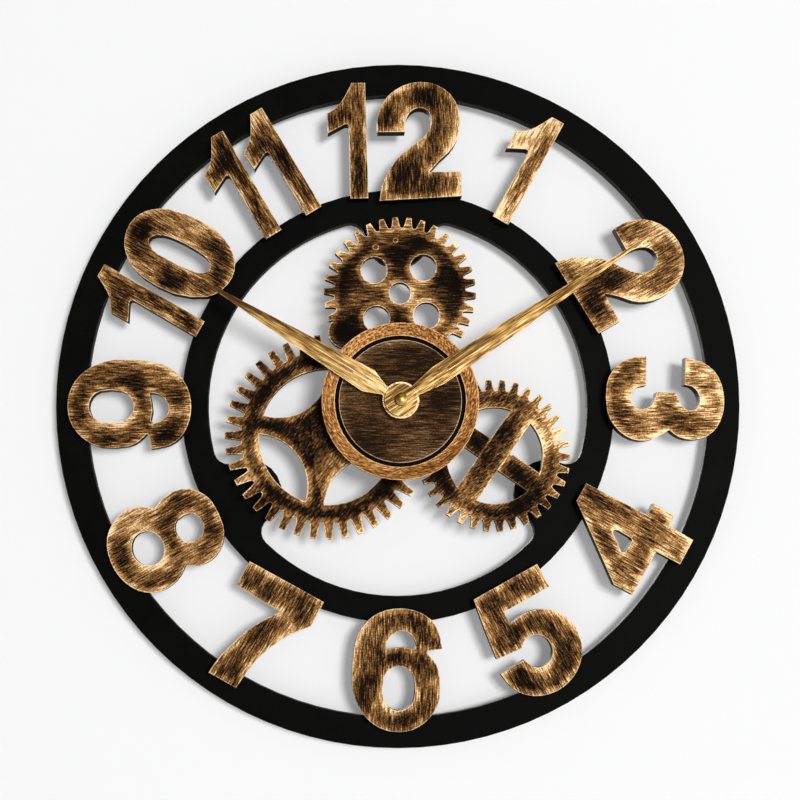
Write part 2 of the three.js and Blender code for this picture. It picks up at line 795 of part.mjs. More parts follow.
function makeRightPlate() {
  const opening = circle(axis, rightPlateRimRadius, edgeFacets);
  const rim = slab(toothedOutline(rightPlate), plateBack, plateDepth, [opening]);
  const length = rightPlateRimRadius + rightPlate.rootRadius;
  const narrowDepth = plateDepth - narrowBarDrop;
  const wide = block(boxAround(0, barOffset, length, wideBarWidth), plateBack, plateDepth);
  const narrow = block(boxAround(0, barOffset, length, narrowBarWidth), plateBack, narrowDepth);
  wide.rotateZ(THREE.MathUtils.degToRad(wideBarTurn));
  narrow.rotateZ(THREE.MathUtils.degToRad(narrowBarTurn));
  addPiece('right_gear_plate', seatPlate(join(rim, wide, narrow), rightPlate, leftPlate), bronze);
}

// A lens opening: the outer arc follows the rim, the inner one bulges toward the plate's centre.
function lensOutline(direction) {
  const corner = polar(lensOuterRadius, lensHalfAngle);
  const sagitta = corner.x - lensInnerReach;
  const innerRadius = (corner.y ** 2 + sagitta ** 2) / (2 * sagitta);
  const innerCentre = new THREE.Vector2(lensInnerReach + innerRadius, 0);
  const innerAngle = THREE.MathUtils.radToDeg(corner.clone().sub(innerCentre).angle());
  const outer = arc(axis, lensOuterRadius, -lensHalfAngle, lensHalfAngle, lensFacets);
  const inner = arc(innerCentre, innerRadius, innerAngle, 360 - innerAngle, lensFacets).slice(1, -1);
  return [...outer, ...inner].map((point) => point.rotateAround(axis, THREE.MathUtils.degToRad(direction)));
}

// The plate is a little thicker beside the hub, to the right of a fold that runs down its web.
function makeLeftPlate() {
  const lenses = lensDirections.map(lensOutline);
  const web = slab(toothedOutline(leftPlate), plateBack, plateDepth, lenses);
  const risenDepth = plateDepth + foldRise;
  const risenWeb = slab(circle(axis, leftPlate.rootRadius, edgeFacets), plateBack, risenDepth, lenses);
  const besideFold = [
    new THREE.Vector2(fold.headX, fold.headY),
    new THREE.Vector2(fold.bendX, fold.bendY),
    new THREE.Vector2(fold.footX, fold.footY),
    new THREE.Vector2(0, foldInnerY),
    new THREE.Vector2(0, fold.headY),
  ];
  const risenArea = slab(besideFold, plateBack, risenDepth).translate(-leftPlate.x, -leftPlate.y, 0);
  const whole = join(web, common(risenWeb, risenArea));
  addPiece('left_gear_plate', seatPlate(whole, leftPlate), darkBronze);
}

function makePosts() {
  for (const [side, direction] of Object.entries(lobeDirections)) {
    const foot = polar(postDistances[side] * dialScale, direction);
    const post = disc(foot, postRadius, ringFront, plateBack - ringFront, smallFacets);
    addPiece(`${side}_gear_post`, post, black);
  }
}

// Hub

function makeHub() {
  const bore = bushRadius + bushClearance;
  const carrier = turned([
    [bore, caseFront], [carrierRadius, caseFront], [carrierRadius, carrierFront],
    [bossRadius, carrierFront], [bossRadius, plateFront], [bore, plateFront],
  ], hubFacets);
  addPiece('hub_carrier', carrier, black);
  const drum = turned([
    [bore, plateFront], [drumRadius, plateFront], [drumRadius, drumFront], [bore, drumFront],
  ], hubFacets);
  addPiece('hub_drum', drum, black);
  const rim = turned([
    [hubRimInnerRadius, drumFront], [hubRimRadius, drumFront],
    [hubRimRadius, hubFront], [hubRimInnerRadius, hubFront],
  ], hubFacets);
  addPiece('hub_rim', rim, copper);
  const hubFace = turned([
    [bore, drumFront], [hubFaceRadius, drumFront], [hubFaceRadius, hubFront], [bore, hubFront],
  ], hubFacets);
  addPiece('hub_face', hubFace, darkBronze);
}

// The bush is held by a flange behind the case's front wall and by the nut in front of the hub.
function makeBush() {
  const flangeBack = caseCeiling - bushFlangeDepth;
  const bush = turned([
    [bushBore, flangeBack], [bushFlangeRadius, flangeBack], [bushFlangeRadius, caseCeiling],
    [bushRadius, caseCeiling], [bushRadius, bushFront], [bushBore, bushFront],
  ], hiddenFacets);
  addPiece('threaded_bush', bush, brass);
  const bore = bushRadius + bushClearance;
  const washer = turned([
    [bore, hubFront], [washerRadius, hubFront], [washerRadius, washerFront], [bore, washerFront],
  ], smallFacets);
  addPiece('rubber_washer', washer, rubber);
  const flats = circle(axis, nutHalfFlats / Math.cos(Math.PI / 6), 6);
  const nut = slab(flats, washerFront, nutDepth, [circle(axis, bore, hiddenFacets)]);
  addPiece('hex_nut', nut, brass);
}

// Hands

// A flat blade that widens from a narrow neck and tapers to a blunt tip, with a ridge along its middle.
function makeHand(name, hand, back, depth, seatRadius) {
  const half = hand.width / 2;
  const rightEdge = [
    new THREE.Vector2(hand.neckWidth / 2, 0),
    new THREE.Vector2(hand.neckWidth / 2, hand.neckEnd),
    new THREE.Vector2(half, hand.widestAt),
    new THREE.Vector2(hand.shoulderWidth / 2, hand.shoulderAt),
    new THREE.Vector2(hand.tipWidth / 2, hand.length),
  ];
  const leftEdge = rightEdge.map(({ x, y }) => new THREE.Vector2(-x, y)).reverse();
  const slope = Math.atan((depth - handEdgeDepth) / half);
  const cuts = [-1, 1].map((side) => {
    const beside = boxAround(side * half, hand.length / 2, hand.width, hand.length * 2);
    return block(beside, 0, depth).rotateY(side * slope).translate(0, 0, back + depth);
  });
  const blade = cut(slab([...rightEdge, ...leftEdge], back, depth), ...cuts);
  const head = disc(axis, hand.headRadius, back, depth, edgeFacets / 2);
  const hole = disc(axis, seatRadius + arborClearance, back - depth, depth * 3, hiddenFacets);
  const mesh = addPiece(name, cut(join(blade, head), hole), gold);
  mesh.rotation.z = THREE.MathUtils.degToRad(-hand.clockAngle);
}

// A domed nut, open from the back, that holds the minute hand on its arbor.
function makeCapNut() {
  const bore = minuteSeatRadius + arborClearance;
  const boreEnd = minuteHandFront + capNutBoreDepth;
  const domeHeight = capNutHeight - capNutSkirt;
  const dome = [];
  for (let step = 0; step <= domeFacets; step += 1) {
    const rise = polar(1, (step * 90) / domeFacets);
    const radius = step < domeFacets ? capNutRadius * rise.x : 0;
    dome.push([radius, minuteHandFront + capNutSkirt + domeHeight * rise.y]);
  }
  const skirt = [[bore, minuteHandFront], [capNutRadius, minuteHandFront]];
  const inside = [[0, boreEnd], [bore, boreEnd]];
  addPiece('cap_nut', turned([...skirt, ...dome, ...inside], smallFacets), brass);
}

// Movement housing

const caseInside = caseSide / 2 - caseWall;
const caseOutline = roundedBox(boxAround(0, 0, caseSide, caseSide), caseCorner, hiddenFacets);
const batteryEnd = (batteryBodyLength + batteryNubLength) / 2;
const minuteWheelPlace = polar(motionDistance, motionDirection);
const thirdPlace = polar(thirdDistance, thirdDirection);
const intermediatePlace = polar(intermediateDistance, 0);
const rotorPlace = polar(rotorDistance, rotorDirection).add(intermediatePlace);
const bridgeFront = bridgeBack + bridgeDepth;
const trainPlateFront = trainPlateBack + trainPlateDepth;
const pillarPlaces = [
  new THREE.Vector2(pillars.left, pillars.bottom),
  new THREE.Vector2(pillars.right, pillars.bottom),
  new THREE.Vector2(pillars.right, pillars.top),
  new THREE.Vector2(pillars.left, pillars.top),
];

function makeCase() {
  const outside = slab(caseOutline, caseBack, caseDepth);
  const inner = boxAround(0, 0, caseInside * 2, caseInside * 2);
  const hollow = block(inner, caseBack - caseWall, caseDepth);
  const bore = disc(axis, bushRadius + bushClearance, caseCeiling - caseWall, caseWall * 3, hiddenFacets);
  const partition = { ...inner, bottom: partitionTop - caseWall, top: partitionTop };
  const wallMiddle = caseFront - caseWall / 2;
  const shell = cut(outside, hollow, bore);
  const pins = pillarPlaces.map((place) => shaft(place, bossPinRadius, trainPlateFront, wallMiddle));
  const wall = block(partition, caseBack, wallMiddle - caseBack);
  addPiece('movement_case', join(shell, wall, ...pins), blackPlastic);
}

// The cover closes the case's back. Its loop hangs on a nail, and it leaves the battery and the setting
// knob open to the hand.
function makeCover() {
  const plate = slab(caseOutline, 0, coverDepth);
  const loopBox = boxAround(0, caseSide / 2, hangerWidth, hangerHeight * 2);
  const loop = slab(roundedBox(loopBox, hangerCorner, smallFacets), 0, coverDepth);
  const loopCentre = new THREE.Vector2(0, caseSide / 2 + hangerHeight / 2);
  const cutBack = -coverDepth;
  const cutDepth = coverDepth * 3;
  const nailHole = disc(loopCentre, hangerHoleRadius, cutBack, cutDepth, hiddenFacets);
  const opening = boxAround(0, batteryCentreY, batteryOpeningWidth, batteryOpeningHeight);
  const knobHole = disc(minuteWheelPlace, knobHoleRadius, cutBack, cutDepth, hiddenFacets);
  const cover = cut(join(plate, loop), nailHole, block(opening, cutBack, cutDepth), knobHole);
  addPiece('movement_cover', cover, blackPlastic);
}

// Battery: it lies across the bottom of the movement, its raised end to the right.
function makeBattery() {
  const body = new THREE.CylinderGeometry(batteryRadius, batteryRadius, batteryBodyLength, hiddenFacets);
  const nubLength = batteryNubLength * 2;
  const nub = new THREE.CylinderGeometry(batteryNubRadius, batteryNubRadius, nubLength, hiddenFacets);
  body.rotateZ(Math.PI / 2).translate(-batteryNubLength / 2, batteryCentreY, batteryCentreZ);
  nub.rotateZ(Math.PI / 2).translate(batteryEnd - batteryNubLength, batteryCentreY, batteryCentreZ);
  addPiece('battery', join(body, nub), batterySleeve);
}

// A spring contact stands between the battery's end and the case's wall.
function makeContact(name, side) {
  const faceMiddle = side * (batteryEnd + contactDepth / 2);
  const footMiddle = (side * (batteryEnd + caseInside)) / 2;
  const faceBox = boxAround(faceMiddle, batteryCentreY, contactDepth, contactSide);
  const footBox = boxAround(footMiddle, batteryCentreY, caseInside - batteryEnd, contactFoot);
  const plate = block(faceBox, batteryCentreZ - contactSide / 2, contactSide);
  const foot = block(footBox, batteryCentreZ - contactFoot / 2, contactFoot);
  addPiece(name, join(plate, foot), steel);
}

// Wheels

// A wheel with pointed teeth, one of them in the given direction.
function wheel(place, { teeth, module, back, depth = wheelDepth }, toothDirection) {
  const pitchRadius = (teeth * module) / 2;
  const tipRadius = pitchRadius + addendumShare * module;
  const rootRadius = pitchRadius - dedendumShare * module;
  const points = [];
  for (let tooth = 0; tooth < teeth; tooth += 1) {
    points.push(polar(tipRadius, toothDirection + (tooth * 360) / teeth).add(place));
    points.push(polar(rootRadius, toothDirection + ((tooth + 1 / 2) * 360) / teeth).add(place));
  }
  return slab(points, back, depth);
}

// The tooth direction of a wheel that meshes with one whose tooth points at it.
function meshing(direction, teeth) {
  return direction + 180 + 180 / teeth;
}

function shaft(place, radius, back, front) {
  return disc(place, radius, back, front - back, tinyFacets);
}

function makeMotionWork() {
  const pinionBack = cannonBack + minuteWheelDepth;
  const pinionDepth = minutePinionFront - pinionBack;
  const module = motionModule;
  const cannon = { teeth: cannonTeeth, module, back: cannonBack, depth: cannonDepth };
  const minuteGear = { teeth: minuteWheelTeeth, module, back: cannonBack, depth: minuteWheelDepth };
  const minutePinion = { teeth: minutePinionTeeth, module, back: pinionBack, depth: pinionDepth };
  const hourGear = { teeth: hourWheelTeeth, module, back: hourWheelBack, depth: hourWheelDepth };

  const pivotFront = cannonPivotBack + cannonPivotDepth;
  const socketRadius = pivotRadius + pivotClearance;
  const socketEnd = pivotFront + pivotReach;
  const arborEnd = minuteHandFront + capNutBoreDepth - arborClearance;
  const arbor = turned([
    [0, socketEnd], [socketRadius, socketEnd], [socketRadius, cannonPivotBack],
    [cannonPivotRadius, cannonPivotBack], [cannonPivotRadius, pivotFront],
    [cannonCollarRadius, pivotFront], [cannonCollarRadius, cannonBack],
    [minuteArborRadius, cannonBack], [minuteArborRadius, minuteHandBack],
    [minuteSeatRadius, minuteHandBack], [minuteSeatRadius, arborEnd], [0, arborEnd],
  ], hiddenFacets);
  addPiece('minute_arbor', join(arbor, wheel(axis, cannon, motionDirection)), steel);

  const boreEnd = knobBack + knobDepth - knobBoreDepth;
  const minuteWheel = join(
    wheel(minuteWheelPlace, minuteGear, meshing(motionDirection, minuteWheelTeeth)),
    wheel(minuteWheelPlace, minutePinion, motionDirection + 180),
    shaft(minuteWheelPlace, minuteWheelArborRadius, boreEnd, caseCeiling - arborClearance),
  );
  addPiece('minute_wheel', minuteWheel, whitePlastic);

  const tube = turned([
    [hourTubeBore, hourWheelBack], [hourTubeRadius, hourWheelBack], [hourTubeRadius, hourHandBack],
    [hourSeatRadius, hourHandBack], [hourSeatRadius, hourHandFront], [hourTubeBore, hourHandFront],
  ], hiddenFacets);
  const bore = disc(axis, hourTubeBore, hourWheelBack - hourWheelDepth, hourWheelDepth * 3, hiddenFacets);
  const hourWheel = cut(wheel(axis, hourGear, meshing(motionDirection + 180, hourWheelTeeth)), bore);
  addPiece('hour_wheel', join(tube, hourWheel), whitePlastic);
}

// The knob is pressed onto the minute wheel's arbor at the back, where a finger turns it.
function makeKnob() {
  const points = [];
  for (let tooth = 0; tooth < knobTeeth; tooth += 1) {
    points.push(polar(knobRadius, (tooth * 360) / knobTeeth).add(minuteWheelPlace));
    points.push(polar(knobRootRadius, ((tooth + 1 / 2) * 360) / knobTeeth).add(minuteWheelPlace));
  }
  const boreRadius = minuteWheelArborRadius + arborClearance;
  const boreEnd = knobBack + knobDepth - knobBoreDepth;
  const bore = disc(minuteWheelPlace, boreRadius, boreEnd, knobDepth, tinyFacets);
  addPiece('setting_knob', cut(slab(points, knobBack, knobDepth), bore), whitePlastic);
}

// Each wheel of the train rides on its own arbor; the rotor is at the fast end.
function makeTrain() {
  const pivotBack = bridgeFront - pivotReach;
  const pivotFront = trainPlateBack + pivotReach;
  const boreRadius = cannonPivotRadius + arborClearance;
  const centreBore = disc(axis, boreRadius, centreWheel.back - wheelDepth, wheelDepth * 3, hiddenFacets);
  addPiece('centre_wheel', cut(wheel(axis, centreWheel, thirdDirection), centreBore), brass);

  const third = join(
    wheel(thirdPlace, thirdPinion, meshing(thirdDirection, thirdPinion.teeth)),
    wheel(thirdPlace, thirdWheel, thirdDirection + 180),
    shaft(thirdPlace, pivotRadius, pivotBack, pivotFront),
  );
  addPiece('third_wheel', third, whitePlastic);

  const fourth = join(
    wheel(axis, fourthPinion, meshing(thirdDirection + 180, fourthPinion.teeth)),
    wheel(axis, fourthWheel, 0),
    shaft(axis, pivotRadius, pivotBack, cannonPivotBack + cannonPivotDepth),
  );
  addPiece('fourth_wheel', fourth, whitePlastic);

  const studBore = disc(intermediatePlace, studRadius + pivotClearance, 0, trainPlateBack, tinyFacets);
  const intermediate = join(
    wheel(intermediatePlace, intermediatePinion, meshing(0, intermediatePinion.teeth)),
    wheel(intermediatePlace, intermediateWheel, rotorDirection),
  );
  addPiece('intermediate_wheel', cut(intermediate, studBore), whitePlastic);

  const magnetFront = rotorMagnetBack + rotorMagnetDepth;
  const rotor = join(
    wheel(rotorPlace, rotorPinion, meshing(rotorDirection, rotorPinion.teeth)),
    disc(rotorPlace, rotorMagnetRadius, rotorMagnetBack, magnetFront - rotorMagnetBack, hiddenFacets),
    shaft(rotorPlace, pivotRadius, pivotBack, pivotFront),
  );
  addPiece('rotor', rotor, steel);
}

// The bridge and the plate hold the wheels between them; pins of the case press on the plate.
function makeTrainFrame() {
  const pivotHole = pivotRadius + pivotClearance;
  const arborHole = minuteWheelArborRadius + arborClearance;
  const hole = (place, radius) => disc(place, radius, 0, caseFront, tinyFacets);
  const studEnd = intermediatePinion.back + intermediatePinion.depth + pivotReach;
  const pads = [statorPads.bottom, statorPads.top].map((y) => new THREE.Vector2(statorPads.x, y));
  const floor = cut(
    block(bridgeBox, bridgeBack, bridgeDepth),
    ...[axis, thirdPlace, rotorPlace].map((place) => hole(place, pivotHole)),
    hole(minuteWheelPlace, arborHole),
  );
  const bridge = join(
    floor,
    ...pillarPlaces.map((place) => shaft(place, pillarRadius, bridgeBack, trainPlateBack)),
    ...pads.map((place) => shaft(place, statorPadRadius, bridgeBack, statorBack)),
    shaft(intermediatePlace, studRadius, bridgeBack, studEnd),
  );
  addPiece('train_bridge', bridge, brass);
  const plate = cut(
    block(bridgeBox, trainPlateBack, trainPlateDepth),
    ...[thirdPlace, rotorPlace].map((place) => hole(place, pivotHole)),
    hole(minuteWheelPlace, arborHole),
    hole(axis, cannonCollarRadius + arborClearance),
  );
  addPiece('train_plate', plate, brass);
}

// Motor and circuit

function makeMotor() {
  const arm = { left: statorBox.right - statorArmWidth, right: statorArmReach };
  const lower = { ...arm, bottom: statorBox.bottom, top: statorBox.bottom + statorArmWidth };
  const upper = { ...arm, bottom: statorBox.top - statorArmWidth, top: statorBox.top };
  const sheet = [statorBox, lower, upper].map((box) => block(box, statorBack, statorDepth));
  const holeBack = statorBack - statorDepth;
  const rotorHole = disc(rotorPlace, rotorHoleRadius, holeBack, statorDepth * 3, hiddenFacets);
  addPiece('stator', cut(join(...sheet), rotorHole), steel);

  const coreBack = statorBack + statorDepth;
  const core = block({ ...coreBox, bottom: statorBox.bottom, top: statorBox.top }, coreBack, statorDepth);
  addPiece('coil_core', core, steel);

  const length = statorBox.top - statorBox.bottom - (statorArmWidth + coilInset) * 2;
  const winding = new THREE.CylinderGeometry(coilRadius, coilRadius, length, hiddenFacets);
  const middleX = (coreBox.left + coreBox.right) / 2;
  const middleY = (statorBox.bottom + statorBox.top) / 2;
  winding.translate(middleX, middleY, coreBack + statorDepth / 2);
  addPiece('coil', cut(winding, core), copperWire);
}

function makeCircuit() {
  addPiece('circuit_board', block(circuitBoard, coverDepth, circuitBoard.depth), boardGreen);
  const can = new THREE.CylinderGeometry(crystalRadius, crystalRadius, crystalLength, hiddenFacets);
  const middleX = (circuitBoard.left + circuitBoard.right) / 2;
  can.rotateZ(Math.PI / 2).translate(middleX, crystalY, coverDepth + circuitBoard.depth + crystalRadius);
  addPiece('crystal_can', can, steel);
}

makeOuterRing();
makeInnerRing();
figures.forEach(makeNumeral);
makeTopPlate();
makeRightPlate();
makeLeftPlate();
makePosts();
makeHub();
makeBush();
makeHand('hour_hand', hourHand, hourHandBack, hourHandDepth, hourSeatRadius);
makeHand('minute_hand', minuteHand, minuteHandBack, minuteHandDepth, minuteSeatRadius);
makeCapNut();
makeCase();
makeCover();
makeBattery();
makeContact('contact_plus', 1);
makeContact('contact_minus', -1);
makeMotionWork();
makeKnob();
makeTrain();
makeTrainFrame();
makeMotor();
makeCircuit();

const clock = new THREE.Group();
clock.name = 'wall_clock';
face.rotation.x = Math.PI / 2;
clock.add(face);

export default clock;
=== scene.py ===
# %% [markdown]
# # A wall clock with toothed plates behind its hub
# The solids of the clock come from its CAD model and stay where they are. This lesson gives each one the
# finish that it has on the real clock: brushed bronze paint on the figures, copper on the hub's rim, black
# satin paint on the rings, and the plastics and metals of the battery movement at the back.

# %% Load the clock's solids
import json
import math
import bmesh
import bpy
import numpy as np
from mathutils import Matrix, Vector


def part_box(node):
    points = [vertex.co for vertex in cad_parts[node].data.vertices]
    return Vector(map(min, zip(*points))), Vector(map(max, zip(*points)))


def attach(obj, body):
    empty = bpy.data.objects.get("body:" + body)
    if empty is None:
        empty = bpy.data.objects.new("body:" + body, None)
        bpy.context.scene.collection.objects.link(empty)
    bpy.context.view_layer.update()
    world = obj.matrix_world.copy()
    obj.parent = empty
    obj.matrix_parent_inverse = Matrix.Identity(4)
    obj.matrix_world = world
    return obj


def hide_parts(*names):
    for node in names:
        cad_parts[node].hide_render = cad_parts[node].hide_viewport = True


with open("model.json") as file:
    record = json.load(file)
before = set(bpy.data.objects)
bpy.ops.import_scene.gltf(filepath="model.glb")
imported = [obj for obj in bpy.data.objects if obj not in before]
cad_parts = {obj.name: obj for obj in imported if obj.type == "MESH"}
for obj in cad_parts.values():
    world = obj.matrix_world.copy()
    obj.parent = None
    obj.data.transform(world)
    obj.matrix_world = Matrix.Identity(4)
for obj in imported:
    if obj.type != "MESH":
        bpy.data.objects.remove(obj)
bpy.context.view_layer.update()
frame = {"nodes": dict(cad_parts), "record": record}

nodes = frame["nodes"]
record = frame["record"]
body_of = {node: body for body, members in record["behaviour"]["bodies"].items() for node in members}
slot_of = {entry["node"]: entry["material_slot"] for entry in record["subparts"]}

# %% [markdown]
# ## The camera
# The clock hangs on a wall and is seen from a metre away, a little from below and from the left. A camera
# could be turned towards the clock, but then the round rings would come out oval. Here the picture plane
# stays parallel to the wall, and the lens is shifted until the clock stands in the middle of the square
# picture, as an architect's camera does it.

# %% Camera
scene = bpy.context.scene
camera = bpy.data.cameras.new("camera")
camera.sensor_width = 36
camera.lens = 67.56
camera.shift_x = 0.11653
camera.shift_y = 0.235
viewer = bpy.data.objects.new("camera", camera)
scene.collection.objects.link(viewer)
viewer.location = (-0.0599, -1.0, -0.1195)
viewer.rotation_euler = (math.radians(90), 0, 0)
scene.camera = viewer
scene.view_settings.view_transform = "Standard"
print("camera", tuple(round(value, 3) for value in viewer.location), "lens", camera.lens, "mm")

# %% [markdown]
# ## Values on a surface
# A finish is a net of nodes. Written out one by one, such a net is hard to read, so a small class holds
# one socket and turns plus, minus and times into Math nodes. A second class is the net itself: it has one
# method for every other kind of node, which sets what the node is before it feeds its sockets. A material
# is such a net with a shader at its end.

# %% A socket with arithmetic
class Value:
    """A number, vector, colour or shader that a socket gives."""

    def __init__(self, net, socket):
        self.net = net
        self.socket = socket

    def maths(self, operation, first, second):
        return self.net.node("ShaderNodeMath", {"operation": operation}, {0: first, 1: second})

    def __add__(self, other):
        return self.maths("ADD", self, other)

    def __radd__(self, other):
        return self.maths("ADD", other, self)

    def __sub__(self, other):
        return self.maths("SUBTRACT", self, other)

    def __rsub__(self, other):
        return self.maths("SUBTRACT", other, self)

    def __mul__(self, other):
        return self.maths("MULTIPLY", self, other)

    def __rmul__(self, other):
        return self.maths("MULTIPLY", other, self)


# %% A net of nodes
def set_stops(ramp, stops):
    """Gives a colour ramp its stops: pairs of place and colour."""
    while len(ramp.elements) < len(stops):
        ramp.elements.new(1)
    for element, (place, colour) in zip(ramp.elements, stops):
        element.position = place
        element.color = colour


class Net:
    """A tree of shader nodes, with one method that adds any kind of node."""

    def __init__(self, tree):
        self.tree = tree

    def feed(self, socket, value):
        if isinstance(value, Value):
            self.tree.links.new(value.socket, socket)
        else:
            socket.default_value = value

    def node(self, kind, settings=None, values=None, output=0):
        made = self.tree.nodes.new(kind)
        for name, setting in (settings or {}).items():
            if name == "stops":
                set_stops(made.color_ramp, setting)
            else:
                setattr(made, name, setting)
        for socket, value in (values or {}).items():
            self.feed(made.inputs[socket], value)
        return Value(self, made.outputs[output])


# %% A material as a net
class Finish(Net):
    """A material in the making, with its shader. An underscore stands for a space in a socket's name."""

    def __init__(self, name, **constants):
        self.material = bpy.data.materials.new(name)
        self.material.use_nodes = True
        super().__init__(self.material.node_tree)
        self.shader = self.tree.nodes["Principled BSDF"]
        self.shows(**constants)

    def shows(self, **results):
        for socket, value in results.items():
            self.feed(self.shader.inputs[socket.replace("_", " ")], value)
        return self.material


# %% [markdown]
# ## Colours and patterns
# Colours are written as they are read off a screen, 0 to 255, and turned into the linear values that the
# shader wants. A picture of brush strokes could be laid over the pieces, but it would blur up close and
# repeat. The patterns here are noises stretched to the size of real brush strokes: a tenth of a millimetre
# to a few millimetres across and much longer along the stroke.

# %% Colours
def shade(red, green, blue):
    """A screen colour as the linear colour of a shader."""
    def linear(part):
        part = part / 255
        return part / 12.92 if part < 0.04045 else ((part + 0.055) / 1.055) ** 2.4
    return (linear(red), linear(green), linear(blue), 1)


print("a middle grey of 128 is", round(shade(128, 128, 128)[0], 3), "in linear light")


# %% Places and noise
def solid_place(finish):
    """The place on the piece, in metres."""
    return finish.node("ShaderNodeTexCoord", output="Object")


def stroke_place(finish):
    """The place across and along the strokes, in metres, from the piece's own map."""
    return finish.node("ShaderNodeUVMap", {"uv_map": "strokes"})


def noise(finish, place, per_metre, detail=3, roughness=0.55, distortion=0.0):
    """A noise from 0 to 1, with so many grains per metre: one number, or one for each axis."""
    grains = per_metre if isinstance(per_metre, tuple) else (per_metre, per_metre, per_metre)
    scaled = finish.node("ShaderNodeVectorMath", {"operation": "MULTIPLY"}, {0: place, 1: grains})
    values = {"Vector": scaled, "Scale": 1, "Detail": detail, "Roughness": roughness,
              "Distortion": distortion}
    return finish.node("ShaderNodeTexNoise", values=values)


def swing(value, strength):
    """A noise as a change up and down, with nothing added on the whole."""
    return (value - 0.5) * strength


# %% Masks, colours and relief
mix_first, mix_second, mix_result = 6, 7, 2   # the colour sockets of a Mix node, which share their names


def spread(finish, value, low, high):
    """0 where the value is low, 1 where it is high, and smooth between them."""
    settings = {"interpolation_type": "SMOOTHSTEP"}
    return finish.node("ShaderNodeMapRange", settings, {"Value": value, "From Min": low, "From Max": high})


def ramp(finish, value, stops):
    """A colour for each value from 0 to 1."""
    return finish.node("ShaderNodeValToRGB", {"stops": stops}, {"Fac": value})


def blend(finish, share, first, second):
    """The first colour where share is 0 and the second where it is 1."""
    values = {0: share, mix_first: first, mix_second: second}
    return finish.node("ShaderNodeMix", {"data_type": "RGBA"}, values, output=mix_result)


def bump(finish, height, distance):
    """A surface that rises by a distance, in metres, where height is 1."""
    return finish.node("ShaderNodeBump", values={"Height": height, "Distance": distance, "Strength": 1.0})


# %% [markdown]
# ## Brushed bronze
# The figures and toothed plates are painted near black first. Then a nearly dry brush with bronze drags
# over the face, so the bronze lies in short broken strokes, thins out in patches and gathers along the
# edges. Two paints with a mask between them would give hard borders. Here a sum of noises says how much
# bronze lies on each spot, and one ramp turns that into a colour, so thin bronze is brown and thick bronze
# is pale. The distance to the nearest edge comes with the mesh, in millimetres.

# %% Bronze colours
bronze_stops = [
    (0.0, shade(8, 4, 1)),
    (0.2, shade(20, 11, 4)),
    (0.3, shade(42, 26, 11)),
    (0.42, shade(78, 52, 27)),
    (0.56, shade(118, 82, 43)),
    (0.71, shade(161, 118, 68)),
    (0.9, shade(217, 181, 132)),
    (1.0, shade(236, 207, 163)),
]
copper_stops = [
    (0.2, shade(66, 36, 10)),
    (0.35, shade(96, 58, 22)),
    (0.52, shade(130, 84, 40)),
    (0.65, shade(162, 110, 58)),
    (0.78, shade(186, 132, 76)),
    (0.98, shade(224, 178, 120)),
]
dark_stops = [
    (0.1, shade(28, 17, 7)),
    (0.23, shade(50, 32, 15)),
    (0.34, shade(68, 46, 24)),
    (0.46, shade(86, 60, 34)),
    (0.64, shade(110, 82, 55)),
    (1.0, shade(190, 156, 118)),
]
print(len(bronze_stops), "tones of bronze,", len(copper_stops), "of copper,", len(dark_stops), "of the disc")


# %% How much bronze lies on each spot
def bronze_cover(finish, place, hair, stroke, patch, streaks, uneven):
    """The brush's marks. Hair, stroke and patch are the grains per metre across and along the strokes."""
    fine = noise(finish, place, hair, detail=2, roughness=0.6)
    wide = noise(finish, place, stroke, detail=3, roughness=0.6)
    patches = noise(finish, place, patch, detail=1, roughness=0.5, distortion=0.3)
    specks = noise(finish, place, 950, detail=1, roughness=0.6)
    strokes = swing(fine, 1.5) + swing(wide, 0.7) + swing(specks, 0.6)
    return strokes * streaks + swing(patches, uneven)


def carried(finish, name):
    """A value that the mesh carries from corner to corner."""
    return finish.node("ShaderNodeAttribute", {"attribute_name": name}, output="Fac")


# %% Edges and dents
def edge_wear_and_highlight(finish, place, reach, ragged, per_metre):
    """1 on the front's edge and 0 beyond the reach, in millimetres, with a ragged border: where paint is
    worn, and on the rings where a highlight is painted.
    """
    uneven = noise(finish, place, per_metre, detail=3)
    return 1 - spread(finish, carried(finish, "from_edge") + swing(uneven, ragged), reach * 0.3, reach)


def dent_rim(finish, place, spot, radius):
    """1 on the thin rim of a round dent and 0 elsewhere."""
    sharp, faded = 0.0001, 0.0006
    away = finish.node("ShaderNodeVectorMath", {"operation": "DISTANCE"}, {0: place, 1: spot}, output="Value")
    beside = finish.node("ShaderNodeMath", {"operation": "ABSOLUTE"}, {0: away - radius})
    return 1 - spread(finish, beside, sharp, faded)


# %% The bronze paint
def bronze_paint(name, hair, stroke, patch, cover, gather, line=0.35, streaks=1.0, uneven=1.2,
                 stops=bronze_stops, dents=()):
    """Dry-brushed bronze over black. Line is the bronze on the very edge, gather that within 5 mm of it."""
    gather_reach, dent_bronze = 5.0, 0.35
    paint = Finish(name, Metallic=0.25, Specular_IOR_Level=0.03)
    solid = solid_place(paint)
    strokes = bronze_cover(paint, stroke_place(paint), hair, stroke, patch, streaks, uneven)
    amount = carried(paint, "cover") + cover + strokes
    amount = amount + edge_wear_and_highlight(paint, solid, 0.7, 0.6, 300) * line
    amount = amount + edge_wear_and_highlight(paint, solid, gather_reach, gather_reach * 0.9, 90) * gather
    for dent in dents:
        amount = amount + dent_rim(paint, solid, *dent) * dent_bronze
    return paint.shows(Base_Color=ramp(paint, amount, stops), Roughness=0.62 - amount * 0.16,
                       Normal=bump(paint, amount, 0.00012))
